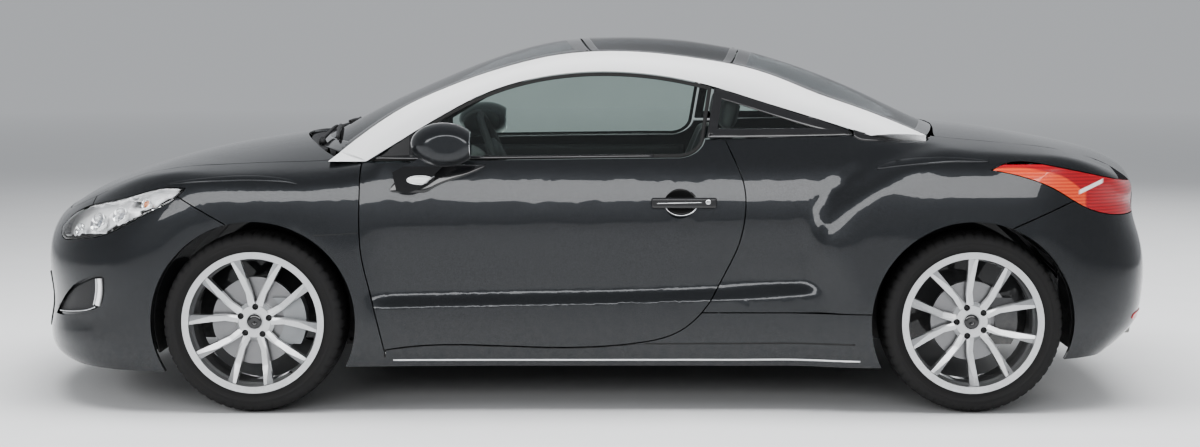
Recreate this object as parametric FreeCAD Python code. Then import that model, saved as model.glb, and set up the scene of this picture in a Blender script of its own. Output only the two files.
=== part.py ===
import FreeCAD, Part
import math
import os

V = FreeCAD.Vector
os.makedirs("parts", exist_ok=True)

# Main sizes of the car in mm. Front is -X, the driver's side is -Y, the ground is z = 0.
WHEELBASE = 2612.0
FRONT_OVERHANG = 940.0
REAR_OVERHANG = 735.0
FRONT_TRACK = 1580.0
REAR_TRACK = 1593.0
WIDTH = 1845.0

# Wheels and tyres
TYRE_RADIUS = 330.0
TYRE_WIDTH = 235.0
BEAD_RADIUS = 243.0
RIM_RADIUS = 258.0
RIM_WIDTH = 216.0
RIM_WALL = 9.0
RIM_OFFSET = 38.0
SPOKE_PAIRS = 5
FRONT_WHEEL_TURN = 3.6
REAR_WHEEL_TURN = -19.0
BOLT_CIRCLE = 54.0
BOLT_RECESS = 11.5
HUB_RADIUS = 72.0
HUB_BORE = 31.0
FRONT_DISC_RADIUS = 160.0
REAR_DISC_RADIUS = 145.0
DISC_THICKNESS = 24.0
ARCH_RADIUS = 370.0
LINER_WALL = 6.0
KINGPIN_OFFSET = 50.0
KINGPIN_RADIUS = 14.0

# Panels and clearances
SEAM = 4.0
LAMP_SEAM = 3.0
SEAT_GAP = 0.3
EDGE_GAP = 0.8
PIN_PLAY = 0.1
PANEL = 24.0
DOOR_THICKNESS = 88.0
GLASS = 6.0
ROOF_THICKNESS = 26.0
PILLAR = 36.0

# Structure
SILL_BOTTOM = 165.0
FLOOR_TOP = 200.0
FLOOR_PLATE = 14.0
TUNNEL = 130.0
RAIL = 60.0
SILL_DEPTH = 232.5
PIN_RADIUS = 5.0
SEAT_WIDTH = 500.0
SEAT_CENTRE = 375.0
STEERING_RADIUS = 185.0

LENGTH = FRONT_OVERHANG + WHEELBASE + REAR_OVERHANG
FRONT_END = -LENGTH / 2
FRONT_AXLE = FRONT_END + FRONT_OVERHANG
REAR_AXLE = FRONT_AXLE + WHEELBASE
HUB_Z = TYRE_RADIUS
HALF_FRONT = FRONT_TRACK / 2
HALF_REAR = REAR_TRACK / 2
FLOOR_HALF_WIDTH = WIDTH / 2 - SILL_DEPTH

# The skin tables below are drawn for these sizes, and station() carries them to the sizes above.
DRAWN_FRONT_AXLE = -1203.5
DRAWN_REAR_AXLE = 1408.5
DRAWN_FRONT_END = -2143.5
DRAWN_REAR_END = 2143.5
DRAWN_WIDTH = 1845.0


def station(x):
    if x < DRAWN_FRONT_AXLE:
        share = (x - DRAWN_FRONT_AXLE) / (DRAWN_FRONT_END - DRAWN_FRONT_AXLE)
        return FRONT_AXLE - share * FRONT_OVERHANG
    if x > DRAWN_REAR_AXLE:
        share = (x - DRAWN_REAR_AXLE) / (DRAWN_REAR_END - DRAWN_REAR_AXLE)
        return REAR_AXLE + share * REAR_OVERHANG
    share = (x - DRAWN_FRONT_AXLE) / (DRAWN_REAR_AXLE - DRAWN_FRONT_AXLE)
    return FRONT_AXLE + share * WHEELBASE


def across(y):
    return y * WIDTH / DRAWN_WIDTH


def place(x, y, z):
    return V(station(x), across(y), z)


def curve(points):
    """A smooth value through (t, value) points, straight beyond its ends."""
    ts = [p[0] for p in points]
    vs = [p[1] for p in points]
    chords = [(vs[i + 1] - vs[i]) / (ts[i + 1] - ts[i]) for i in range(len(ts) - 1)]
    slopes = [chords[0]]
    for i in range(1, len(ts) - 1):
        left = ts[i] - ts[i - 1]
        right = ts[i + 1] - ts[i]
        slopes.append((chords[i - 1] * right + chords[i] * left) / (left + right))
    slopes.append(chords[-1])

    def value(t):
        if t <= ts[0]:
            return vs[0] + slopes[0] * (t - ts[0])
        if t >= ts[-1]:
            return vs[-1] + slopes[-1] * (t - ts[-1])
        i = 0
        while ts[i + 1] < t:
            i += 1
        h = ts[i + 1] - ts[i]
        u = (t - ts[i]) / h
        a = vs[i] * (1 + 2 * u) * (1 - u) ** 2 + slopes[i] * h * u * (1 - u) ** 2
        b = vs[i + 1] * u * u * (3 - 2 * u) - slopes[i + 1] * h * u * u * (1 - u)
        return a + b

    return value


def ramp(t, start, end):
    u = min(1.0, max(0.0, (t - start) / (end - start)))
    return u * u * (3 - 2 * u)


def join(values, softness):
    """Smooth greatest value: rounds the corner where skin faces meet."""
    top = max(values)
    return top + softness * math.log(sum(math.exp((v - top) / softness) for v in values))


# Body sides: half width along the car, and how far each section leans in at each height
half_width = curve([(-2143, 850), (-1900, 882), (-1600, 905), (-1203, 915), (-900, 893), (-500, 872),
                    (0, 866), (400, 867), (700, 870), (1000, 872), (1408, 872), (1700, 860), (1900, 836),
                    (2143, 795)])
door_section = curve([(100, -34), (165, -22), (230, -6), (300, 0), (385, 0), (600, -4), (700, -8),
                      (800, -18), (870, -34), (915, -52), (960, -78), (1000, -104), (1100, -170)])
front_section = curve([(100, -40), (165, -25), (300, -5), (500, 0), (650, 0), (750, -2), (800, -8),
                       (850, -22), (900, -50), (950, -90), (1000, -140)])
rear_section = curve([(100, -45), (165, -30), (230, -14), (300, -4), (500, 0), (700, 0), (800, -6),
                      (850, -15), (900, -28), (942, -50), (970, -70), (1000, -100), (1100, -200)])
haunch_edge = curve([(250, 850), (428, 862), (560, 815), (690, 830), (786, 900), (891, 1040),
                     (950, 1180), (1000, 1300)])
HAUNCH = 50.0
ledge_height = curve([(-760, 380), (452, 406), (883, 428)])
LEDGE = 25.0

# Nose and tail: how far back each height and each distance from the middle lies
nose_profile = curve([(100, -2010), (150, -2082), (175, -2116), (215, -2140), (270, -2140), (330, -2130),
                      (400, -2130), (460, -2139), (510, -2143.5), (560, -2140), (620, -2124),
                      (680, -2090), (726, -2050), (784, -1985), (900, -1850)])
nose_plan = curve([(0, 0), (200, 15), (400, 62), (500, 92), (600, 134), (750, 240), (850, 372),
                   (920, 505), (1000, 720)])
tail_profile = curve([(150, 1960), (200, 2010), (260, 2085), (322, 2122), (400, 2138), (515, 2143.5),
                      (600, 2130), (680, 2105), (740, 2095), (800, 2100), (858, 2110), (1000, 2112)])
tail_plan = curve([(0, 0), (400, 20), (650, 62), (800, 150), (880, 270), (950, 420)])

# Bonnet and tail deck: middle line, and the fall to the ridge at the stated distance out
bonnet_middle = curve([(-2143, 640), (-2070, 700), (-1991, 738), (-1900, 790), (-1735, 855),
                       (-1519, 915), (-1362, 945), (-1229, 966), (-1100, 985), (-900, 1010)])
ridge_height = curve([(-2143, 600), (-2000, 690), (-1811, 783), (-1606, 863), (-1481, 885),
                      (-1330, 894), (-1180, 901), (-955, 906), (-823, 908)])
ridge_out = curve([(-2143, 540), (-2000, 600), (-1811, 680), (-1500, 725), (-1203, 738), (-950, 745),
                   (-823, 775)])
deck_middle = curve([(1000, 1070), (1150, 1050), (1352, 1024), (1554, 1003), (1800, 962), (1923, 938),
                     (2029, 908), (2113, 862), (2200, 800)])
shoulder_height = curve([(900, 1010), (1065, 997), (1323, 970), (1548, 953), (1802, 920), (1956, 850),
                         (2040, 770)])
SHOULDER_OUT = 780.0


def side_at(x, z):
    front = 1 - ramp(x, -1080, -760)
    rear = ramp(x, 700, 1250)
    lean = front * front_section(z) + rear * rear_section(z) + (1 - front - rear) * door_section(z)
    out = half_width(x) + lean
    out += HAUNCH * math.sin(math.pi / 2 * min(1.0, max(0.0, (x - haunch_edge(z)) / 150)))
    rise = z - ledge_height(x)
    inset = ramp(rise, -2, 45) * (1 - ramp(rise, 45, 320))
    out -= LEDGE * inset * ramp(x, -840, -690) * (1 - ramp(x, 760, 900))
    return out


def top_at(x, y):
    if x < 0:
        drop = bonnet_middle(x) - ridge_height(x)
        height = bonnet_middle(x) - drop * (abs(y) / ridge_out(x)) ** 2.2
        return height + 400 * max(0.0, (x + 815) / 200) ** 2
    drop = deck_middle(x) - shoulder_height(x)
    height = deck_middle(x) - drop * (abs(y) / SHOULDER_OUT) ** 2.5
    return height + 400 * max(0.0, (1045 - x) / 200) ** 2


def outside(x, y, z):
    """Above zero outside the skin, below zero inside it."""
    walls = [abs(y) - side_at(x, z)]
    if x < -1000:
        walls.append(nose_profile(z) + nose_plan(abs(y)) - x)
    if x > 1000:
        walls.append(x - tail_profile(z) + tail_plan(abs(y)))
    wall = join(walls, 40)
    if -500 < x < 700:
        return wall
    return join([wall, z - top_at(x, y)], 16)


def reach(start, way, limit):
    """Distance from start along way to the skin."""
    low = 0.0
    high = limit
    for _ in range(26):
        mid = (low + high) / 2
        if outside(start[0] + way[0] * mid, start[1] + way[1] * mid, start[2] + way[2] * mid) < 0:
            low = mid
        else:
            high = mid
    return low


def shares(lines):
    """Parameters from 0 to 1 by the mean length of each step along the lines."""
    steps = [0.0]
    for i in range(1, len(lines[0])):
        steps.append(steps[-1] + sum((line[i] - line[i - 1]).Length for line in lines))
    return [step / steps[-1] for step in steps]


def fitted(points, parameters):
    spline = Part.BSplineCurve()
    spline.interpolate(Points=points, Parameters=parameters)
    return spline


def skin_face(points):
    """A smooth face through a grid of drawn points, in steps by their real spacing."""
    rows = [[place(*p) for p in row] for row in points]
    columns = [list(column) for column in zip(*rows)]
    along_rows = shares(rows)
    along_columns = shares(columns)
    row_splines = [fitted(row, along_rows) for row in rows]
    pole_columns = zip(*[spline.getPoles() for spline in row_splines])
    column_splines = [fitted(list(column), along_columns) for column in pole_columns]
    poles = [list(row) for row in zip(*[spline.getPoles() for spline in column_splines])]
    down = column_splines[0]
    over = row_splines[0]
    surface = Part.BSplineSurface()
    surface.buildFromPolesMultsKnots(poles, down.getMultiplicities(), over.getMultiplicities(),
                                     down.getKnots(), over.getKnots(), False, False, down.Degree,
                                     over.Degree)
    return surface.toShape()


def between(outer, inner):
    """The solid between two grids of points."""
    a = skin_face(outer)
    b = skin_face(inner)
    sides = [Part.makeRuledSurface(a.Edges[i], b.Edges[i]) for i in range(4)]
    shell = Part.makeShell([a, b] + sides)
    shell.sewShape()
    solid = Part.Solid(shell)
    if solid.Volume < 0:
        solid.reverse()
    return solid


def thick_skin(rays, thickness, limit=1600.0, sunk=0.0):
    """A panel on the skin, or sunk under it: rays is a grid of (start, way)."""
    outer = []
    inner = []
    for row in rays:
        outer.append([])
        inner.append([])
        for start, way in row:
            far = reach(start, way, limit)
            outer[-1].append([start[k] + way[k] * (far - sunk) for k in range(3)])
            inner[-1].append([start[k] + way[k] * (far - thickness) for k in range(3)])
    return between(outer, inner)


def side_rays(xs, rises):
    """Rays straight out, at heights counted from the ledge line."""
    return [[((x, 0.0, ledge_height(x) - 400 + z), (0.0, 1.0, 0.0)) for z in rises] for x in xs]


def fan_rays(xs, heights, out, pivot, angles):
    """Rays straight out up to the pivot height, then turning up about (out, pivot)."""
    rays = []
    for x in xs:
        row = [((x, out, z), (0.0, 1.0, 0.0)) for z in heights]
        for angle in angles:
            a = math.radians(angle)
            row.append(((x, out, pivot), (0.0, math.cos(a), math.sin(a))))
        rays.append(row)
    return rays


def wrap_rays(centre, facing, angles, heights):
    """Level rays round the nose or the tail."""
    rays = []
    for angle in angles:
        a = math.radians(angle)
        rays.append([((centre, 0.0, z), (facing * math.cos(a), math.sin(a), 0.0)) for z in heights])
    return rays


def grow(points, distance):
    """The outline set outwards by a distance, corners kept."""
    area = 0.0
    for i, p in enumerate(points):
        q = points[(i + 1) % len(points)]
        area += p[0] * q[1] - q[0] * p[1]
    turn = 1.0 if area > 0 else -1.0
    grown = []
    for i, p in enumerate(points):
        before = points[i - 1]
        after = points[(i + 1) % len(points)]
        a = V(p[0] - before[0], p[1] - before[1], 0).normalize()
        b = V(after[0] - p[0], after[1] - p[1], 0).normalize()
        na = V(a.y, -a.x, 0) * turn
        nb = V(b.y, -b.x, 0) * turn
        middle = na + nb
        middle = middle * (2 * distance / middle.dot(middle))
        grown.append((p[0] + middle.x, p[1] + middle.y) + tuple(p[2:]))
    return grown


def outline_face(points, lift):
    """A face inside a closed outline. Points marked with a third value are corners."""
    first = [i for i, p in enumerate(points) if len(p) > 2][0]
    ring = points[first:] + points[:first] + [points[first]]
    edges = []
    run = [ring[0]]
    for p in ring[1:]:
        run.append(p)
        if len(p) > 2:
            if len(run) == 2:
                edges.append(Part.makeLine(lift(run[0]), lift(run[1])))
            else:
                spline = Part.BSplineCurve()
                spline.interpolate([lift(q) for q in run])
                edges.append(spline.toShape())
            run = [p]
    return Part.Face(Part.Wire(edges))


def corners(points):
    return [tuple(p) + (1,) for p in points]


def side_prism(points, y0, y1):
    face = outline_face(points, lambda p: place(p[0], y0, p[1]))
    return face.extrude(V(0, across(y1) - across(y0), 0))


def plan_prism(points, z0, z1):
    face = outline_face(points, lambda p: place(p[0], p[1], z0))
    return face.extrude(V(0, 0, z1 - z0))


def box(x0, x1, y0, y1, z0, z1):
    return Part.makeBox(x1 - x0, y1 - y0, z1 - z0, V(x0, y0, z0))


def front_prism(points, x0, x1):
    face = outline_face(points, lambda p: V(x0, across(p[0]), p[1]))
    return face.extrude(V(x1 - x0, 0, 0))


def drum(x, y0, y1, z, radius):
    """A cylinder along Y."""
    return Part.makeCylinder(radius, abs(y1 - y0), V(x, min(y0, y1), z), V(0, 1, 0))


def post(x, y, z0, z1, radius):
    """A cylinder along Z."""
    return Part.makeCylinder(radius, z1 - z0, V(x, y, z0), V(0, 0, 1))


def mirror(shape):
    return shape.mirror(V(0, 0, 0), V(0, 1, 0))


def both(shape):
    return [shape, mirror(shape)]


def fuse(shapes):
    result = shapes[0]
    if len(shapes) > 1:
        result = result.fuse(shapes[1:])
    return result.removeSplitter()


def spread(start, end, count):
    return [start + (end - start) * i / (count - 1) for i in range(count)]


def wall_at(x, z):
    """Half width of the skin at a place drawn in the tables."""
    return reach((x, 0.0, z), (0.0, 1.0, 0.0), 1400.0)


nodes = {}


def keep(name, shapes):
    solids = []
    for shape in shapes:
        solids += shape.Solids
    nodes[name] = Part.makeCompound(solids)


# Outlines in side view (x, z), drawn places
DOOR = [(-815, 904, 1), (-815, 776), (-815, 655), (-808, 570), (-786, 470), (-757, 350), (-729, 229, 1),
        (-250, 241), (200, 255), (335, 292), (423, 363), (470, 430), (512, 510), (555, 600), (578, 690),
        (584, 778), (576, 835), (552, 900), (512, 990, 1), (441, 989, 1), (428, 962), (395, 936),
        (328, 923, 1), (0, 920), (-404, 914)]
HEADLAMP = [(-1971, 651, 1), (-1955, 622), (-1880, 622), (-1793, 635), (-1700, 668), (-1570, 735),
            (-1470, 790), (-1447, 817, 1), (-1547, 812), (-1679, 775), (-1813, 745), (-1906, 708)]
TAIL_LAMP = [(1474, 885, 1), (1526, 908), (1682, 900), (1820, 872), (1943, 845), (2250, 820, 1),
             (2250, 706, 1), (2013, 714), (1907, 722), (1811, 753), (1695, 820), (1585, 862)]
BUMPER_SEAM = corners([(-2300, 60), (-1190, 60), (-1190, 627), (-1272, 674), (-1470, 787), (-1520, 790),
                       (-1830, 730), (-1830, 950), (-2300, 950)])
FOG_POCKET = [(-2006, 322, 1), (-1880, 340), (-1780, 368, 1), (-1756, 420), (-1750, 500, 1), (-1815, 487),
              (-1893, 449, 1), (-1962, 380)]
POCKET_DEPTH = 13.0
REAR_SEAM = corners([(1500, 60), (1500, 650), (1557, 678), (1769, 770), (1900, 790), (2300, 790),
                     (2300, 60)])

# The bonnet's outline in plan: half its edge from the middle of the nose to the middle of the screen
BONNET_HALF = [(-2036, 0), (-2026, 200), (-1994, 400), (-1930, 540), (-1850, 625, 1), (-1780, 668),
               (-1650, 698), (-1500, 715), (-1203, 728), (-1000, 728), (-912, 722, 1), (-985, 600),
               (-1060, 400), (-1108, 200), (-1124, 0)]
BOOT_HALF = [(1357, 0), (1350, 200), (1334, 350), (1307, 530), (1285, 640, 1), (1500, 652), (1750, 642),
             (1950, 615), (2250, 600, 1), (2250, 0)]


def whole(half):
    """A closed outline from its half on the +Y side."""
    other = [(p[0], -p[1]) + tuple(p[2:]) for p in reversed(half) if p[1] > 0]
    return list(half) + other


BONNET = whole(BONNET_HALF)
BOOT = corners(whole([p[:2] for p in BOOT_HALF]))
BOOT_LIP = 612.0

# The silver arches: upper and lower edge from the cowl to the haunch (x, z, y)
ARCH_UPPER = [(-905, 942, 720), (-711, 1084, 690), (-517, 1177, 655), (-319, 1247, 628),
              (-120, 1295, 610), (31, 1310, 602), (182, 1309, 600), (383, 1289, 605), (650, 1237, 625),
              (862, 1154, 655), (1076, 1079, 700), (1254, 1003, 745)]
ARCH_LOWER = [(-800, 911, 790), (-553, 1062, 745), (-411, 1140, 720), (-265, 1194, 700),
              (-116, 1225, 690), (33, 1237, 685), (182, 1233, 685), (331, 1214, 690), (469, 1183, 700),
              (639, 1130, 715), (856, 1064, 740), (1047, 1004, 775)]


def along(points):
    """A function of 0 to 1 that runs along a list of (x, z, y) points."""
    far = [0.0]
    for a, b in zip(points, points[1:]):
        far.append(far[-1] + math.dist(a, b))
    shares = [f / far[-1] for f in far]
    parts = [curve([(s, p[k]) for s, p in zip(shares, points)]) for k in (0, 2, 1)]
    return lambda s: [part(s) for part in parts]


upper_edge = along(ARCH_UPPER)
lower_edge = along(ARCH_LOWER)


def edge_at(edge, x):
    low = 0.0
    high = 1.0
    for _ in range(30):
        mid = (low + high) / 2
        if edge(mid)[0] < x:
            low = mid
        else:
            high = mid
    return edge(low)


# Greenhouse
SCREEN_TOP = 0.44
ROOF_END = 0.665
screen_middle = along([(-1088, 952, 0), (-1014, 987, 0), (-797, 1101, 0), (-579, 1199, 0),
                       (-362, 1284, 0), (-188, 1333, 0), (-40, 1354, 0)])
roof_middle = along([(-40, 1354, 0), (182, 1352, 0), (399, 1333, 0), (600, 1295, 0)])
glass_middle = along([(600, 1295, 0), (720, 1262, 0), (900, 1205, 0), (1080, 1133, 0),
                      (1240, 1061, 0), (1350, 1019, 0)])
BUBBLE = 22.0


def crossing(middle, start, end, rows, columns, bubble, edge_in, lift, front_gap, rear_gap):
    """Points of a panel from one arch to the other; the bubble makes two crowns side by side."""
    grid = []
    for i in range(rows):
        s = front_gap + (1 - front_gap - rear_gap) * i / (rows - 1)
        side = upper_edge(start + (end - start) * s)
        mid = middle(s)
        row = []
        for j in range(columns):
            v = -1 + 2 * j / (columns - 1)
            y = v * (side[1] - edge_in)
            x = mid[0] + (side[0] - mid[0]) * v * v
            z = mid[2] + (side[2] - mid[2]) * abs(v) ** 2.3
            z += bubble(s) * math.sin(math.pi * min(1.0, abs(v) / 0.95)) ** 2
            row.append([x, y, z - lift])
        grid.append(row)
    return grid


def crossing_panel(middle, start, end, rows, columns, bubble, thickness, front_gap=0.0, rear_gap=0.0):
    outer = crossing(middle, start, end, rows, columns, bubble, EDGE_GAP, 0, front_gap, rear_gap)
    inner = crossing(middle, start, end, rows, columns, bubble, EDGE_GAP, thickness, front_gap, rear_gap)
    return between(outer, inner)


windscreen = crossing_panel(screen_middle, 0.0, SCREEN_TOP, 9, 9, lambda s: 6 * s, GLASS, 0.0, 0.002)
roof_panel = crossing_panel(roof_middle, SCREEN_TOP, ROOF_END, 7, 13, lambda s: 8 + 16 * s,
                            ROOF_THICKNESS, 0.004, 0.004)
rear_glass = crossing_panel(glass_middle, ROOF_END, 1.0, 9, 13, lambda s: BUBBLE + 4 - 20 * s * s,
                            GLASS, 0.003, 0.0)
keep("windscreen", [windscreen])
keep("roof_panel", [roof_panel])
keep("rear_glass", [rear_glass])

outer = []
inner = []
for s in spread(0.0, 1.0, 17):
    high = upper_edge(s)
    low = lower_edge(s)
    outer.append([])
    inner.append([])
    for t in (0.0, 0.25, 0.5, 0.75, 1.0):
        bulge = 10 * math.sin(math.pi * t)
        point = [high[k] + (low[k] - high[k]) * t for k in range(3)]
        outer[-1].append([point[0], point[1] + bulge * 0.8, point[2] + bulge * 0.6])
        inner[-1].append([point[0], point[1] + 2 - (PILLAR + 2) * t, point[2] - PILLAR * (1 - t) + 2 * t])
arch = between(outer, inner)

# Feet of the arches: the front one stands on the hinge pillar, the rear one on the rear shelf
ARCH_SEAT = 909.6
PILLAR_TOP = 880.0
SHELF_TOP = 930.0
front_foot = box(station(-870), station(-835), across(728), across(750), PILLAR_TOP, 925)
rear_foot = box(station(1080), station(1130), across(715), across(738), SHELF_TOP, 1015)
toe_side = corners([(-940, ARCH_SEAT), (-938, 912.5), (-905, 940.5), (-894, 940.5), (-800, 913), (-800, 911.4),
                    (-806, ARCH_SEAT)])
toe_front = corners([(734, ARCH_SEAT), (789, ARCH_SEAT), (788, 911.4), (721, 941)])
arch_toe = side_prism(toe_side, 700, 800).common(front_prism(toe_front, station(-960), station(-700)))
arch = arch.fuse([front_foot, rear_foot, arch_toe]).removeSplitter()
keep("roof_arches", both(arch))


# Side glass
def glass_out(x, z):
    rise = z - 915
    return 804 - 0.27 * rise - 0.00025 * rise * rise - 15 * ((x - 100) / 700) ** 2


def glass_panel(x0, x1, z0, z1):
    grid = [[(x, glass_out(x, z), z) for z in spread(z0, z1, 6)] for x in spread(x0, x1, 7)]
    return skin_face(grid).extrude(V(0, -GLASS, 0))


arch_line = []
for x in (-700, -600, -450, -300, -150, 0, 150, 300, 400):
    low = edge_at(lower_edge, x)
    arch_line.append((x, low[2] - SEAM))
DOOR_GLASS = ([(-790, 909, 1), (-404, 914 + SEAT_GAP + 1), (0, 920 + SEAT_GAP + 1),
               (328, 923 + SEAT_GAP + 1, 1), (393, 937), (424, 963), (436, 991, 1),
               (466, edge_at(lower_edge, 466)[2] - SEAM, 1)]
              + list(reversed(arch_line)) + [(-772, 921)])
QUARTER_GLASS = ([(446, 996, 1), (520, 996), (1000, 1003, 1)]
                 + [(x, edge_at(lower_edge, x)[2] - SEAM) for x in (960, 850, 700, 560)]
                 + [(476, edge_at(lower_edge, 476)[2] - SEAM, 1)])
door_glass = glass_panel(-830, 500, 890, 1260).common(side_prism(DOOR_GLASS, 500, 1000))
quarter_glass = glass_panel(430, 1060, 980, 1220).common(side_prism(QUARTER_GLASS, 500, 1000))

# Wheel arch openings
front_arch = drum(FRONT_AXLE, 480, 1200, HUB_Z, ARCH_RADIUS)
rear_arch = drum(REAR_AXLE, 480, 1200, HUB_Z, ARCH_RADIUS)
front_arches = both(front_arch)
rear_arches = both(rear_arch)

door_cut = side_prism(grow(DOOR, SEAM), 500, 1100)
bonnet_cut = plan_prism(grow(BONNET, SEAM), 600, 1300)
boot_cut = plan_prism(grow(BOOT, SEAM), BOOT_LIP - SEAM, 1300)
headlamp_cut = side_prism(grow(HEADLAMP, LAMP_SEAM), 300, 1100)
tail_lamp_cut = side_prism(grow(TAIL_LAMP, LAMP_SEAM), 300, 1100)

# Front fenders
fender_x = [-1850, -1780, -1700, -1620, -1540, -1460, -1380, -1300, -1203, -1100, -1000, -920, -860,
            -800, -725]
fender_rays = fan_rays(fender_x, [150, 230, 310, 400, 490, 570], 540, 640,
                       [0, 8, 16, 24, 32, 39, 45, 51, 57, 63, 69])
fender = thick_skin(fender_rays, PANEL)
fender = fender.cut([side_prism(grow(BUMPER_SEAM, SEAM), 0, 1200), headlamp_cut, door_cut, bonnet_cut,
                     front_arch, box(station(-819), station(-600), 0, 1200, 885, 1300),
                     box(station(-990), station(-600), 0, across(731), 600, 1300),
                     box(station(-914), station(-600), 0, across(762), 850, 1300),
                     box(station(-942), station(-600), 0, 1200, ARCH_SEAT - 0.6, 1300),
                     box(station(-1900), station(-600), 0, 1200, 0, SILL_BOTTOM)])

# Quarter panels
quarter_x = [395, 450, 520, 600, 680, 760, 810, 860, 920, 1000, 1090, 1190, 1300, 1408, 1520, 1640,
             1760, 1870, 1960]
quarter_rays = fan_rays(quarter_x, [345, 380, 398, 412, 430, 460, 510, 570], 500, 640,
                        [0, 9, 18, 26, 33, 40, 46, 52, 58, 64, 70])
SILL_SEAM = 365.0
quarter = thick_skin(quarter_rays, PANEL)
window_cut = side_prism(corners([(300, 880), (442, 880), (442, 993), (514, 993), (1001, 1001),
                                 (1047, 1002), (1047, 1500), (300, 1500)]), 0, 1200)
glass_cut = plan_prism([(1000, 300, 1), (1000, 779, 1), (1047, 779, 1), (1256, 750, 1), (1273, 700),
                        (1285, 640, 1), (1340, 300, 1)], 880, 1300)
quarter = quarter.cut([door_cut, window_cut, glass_cut, boot_cut, tail_lamp_cut, rear_arch,
                       side_prism(grow(REAR_SEAM, SEAM), 0, 1200),
                       box(station(300), station(2200), 0, 1200, 0, SILL_SEAM)])

# Doors
door_x = [-835, -790, -740, -690, -600, -450, -300, -150, 0, 150, 300, 400, 470, 530, 600]
door_rays = side_rays(door_x, [205, 260, 320, 370, 390, 400, 410, 425, 445, 480, 540, 620, 700, 770,
                               830, 880, 930, 1000])
door = skin_face([[(p[0][0], reach(p[0], p[1], 1400.0), p[0][2]) for p in row] for row in door_rays])
door = door.extrude(V(0, -DOOR_THICKNESS, 0))
door = door.common(side_prism(DOOR, 500, 1100))
# The door's lower inner edge is taken off at the front, where it swings out over the skirt
door = door.cut(box(station(-705), station(-600), across(600), across(836), 0, 247))

# Nose and tail wraps
nose_angles = [-112, -104, -96, -88, -80, -72, -64, -55, -45, -35, -25, -12, 0]
nose_angles += [-a for a in reversed(nose_angles[:-1])]
nose_heights = [150, 200, 250, 310, 390, 470, 550, 610, 650, 690, 720, 750, 780, 810, 840]
front_bumper = thick_skin(wrap_rays(-1500, -1, nose_angles, nose_heights), PANEL)
front_bumper = front_bumper.common(side_prism(BUMPER_SEAM, -1200, 1200))
front_bumper = front_bumper.cut([bonnet_cut, headlamp_cut, mirror(headlamp_cut)] + front_arches)
pocket_floor = thick_skin(wrap_rays(-1500, -1, [34, 44, 54, 64, 74, 84, 92], [250, 300, 360, 420, 480, 540]),
                          90.0, sunk=POCKET_DEPTH)
pocket = side_prism(FOG_POCKET, 420, 1100).cut(pocket_floor)
front_bumper = front_bumper.cut([pocket, mirror(pocket)])

lamp_rays = wrap_rays(-1500, -1, [20, 30, 40, 50, 60, 70, 80, 90, 100], nose_heights[6:])
headlamp = thick_skin(lamp_rays, 55.0).common(side_prism(HEADLAMP, 300, 1100))
headlamp = headlamp.cut(bonnet_cut)

tail_angles = [-110, -102, -94, -86, -78, -70, -62, -54, -45, -35, -24, -12, 0]
tail_angles += [-a for a in reversed(tail_angles[:-1])]
tail_heights = [190, 240, 290, 350, 420, 500, 570, 630, 680, 720, 760, 800]
rear_bumper = thick_skin(wrap_rays(1500, 1, tail_angles, tail_heights), PANEL)
rear_bumper = rear_bumper.common(side_prism(REAR_SEAM, -1200, 1200))
rear_bumper = rear_bumper.cut([boot_cut, tail_lamp_cut, mirror(tail_lamp_cut)] + rear_arches)

tail_angles_lamp = [18, 26, 35, 44, 53, 62, 71, 80, 89, 98]
tail_lamp = thick_skin(wrap_rays(1500, 1, tail_angles_lamp, [680, 710, 740, 770, 800, 830, 860, 885, 905]),
                       50.0)
tail_lamp = tail_lamp.common(side_prism(TAIL_LAMP, 300, 1100)).cut(boot_cut)

# Bonnet
bonnet_rays = []
front_line = curve([(y, x) for x, y in ((-2036, 0), (-2026, 200), (-1994, 400), (-1930, 540),
                                        (-1850, 625), (-1780, 668), (-1640, 735))])
for y in spread(-745, 745, 15):
    x0 = front_line(abs(y)) - 12
    bonnet_rays.append([((x0 + (-895 - x0) * u, y, 450.0), (0.0, 0.0, 1.0))
                        for u in (0, 0.04, 0.1, 0.2, 0.3, 0.4, 0.52, 0.64, 0.76, 0.88, 1.0)])
bonnet = thick_skin(bonnet_rays, PANEL, 900.0).common(plan_prism(BONNET, 500, 1300))

# Boot lid
boot_rays = []
for y in spread(-665, 665, 13):
    row = []
    for angle in (2, 11, 20, 28, 34, 40, 47, 56, 66, 78, 92, 106, 118, 128, 138):
        a = math.radians(angle)
        row.append(((1700.0, y, 600.0), (math.cos(a), 0.0, math.sin(a))))
    boot_rays.append(row)
boot_lid = thick_skin(boot_rays, PANEL, 900.0).common(plan_prism(BOOT, BOOT_LIP, 1300))

# Sill skirts between the arches
skirt_rays = fan_rays(spread(-725, 1100, 12), [150, 180, 210, 240, 280, 320, 375], 500, 640, [])
skirt = thick_skin(skirt_rays, PANEL)
skirt = skirt.cut([door_cut, rear_arch, box(station(-800), station(1200), 0, 1200, 0, SILL_BOTTOM),
                   box(station(-800), station(1200), 0, 1200, SILL_SEAM - SEAM, 600)])

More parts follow.
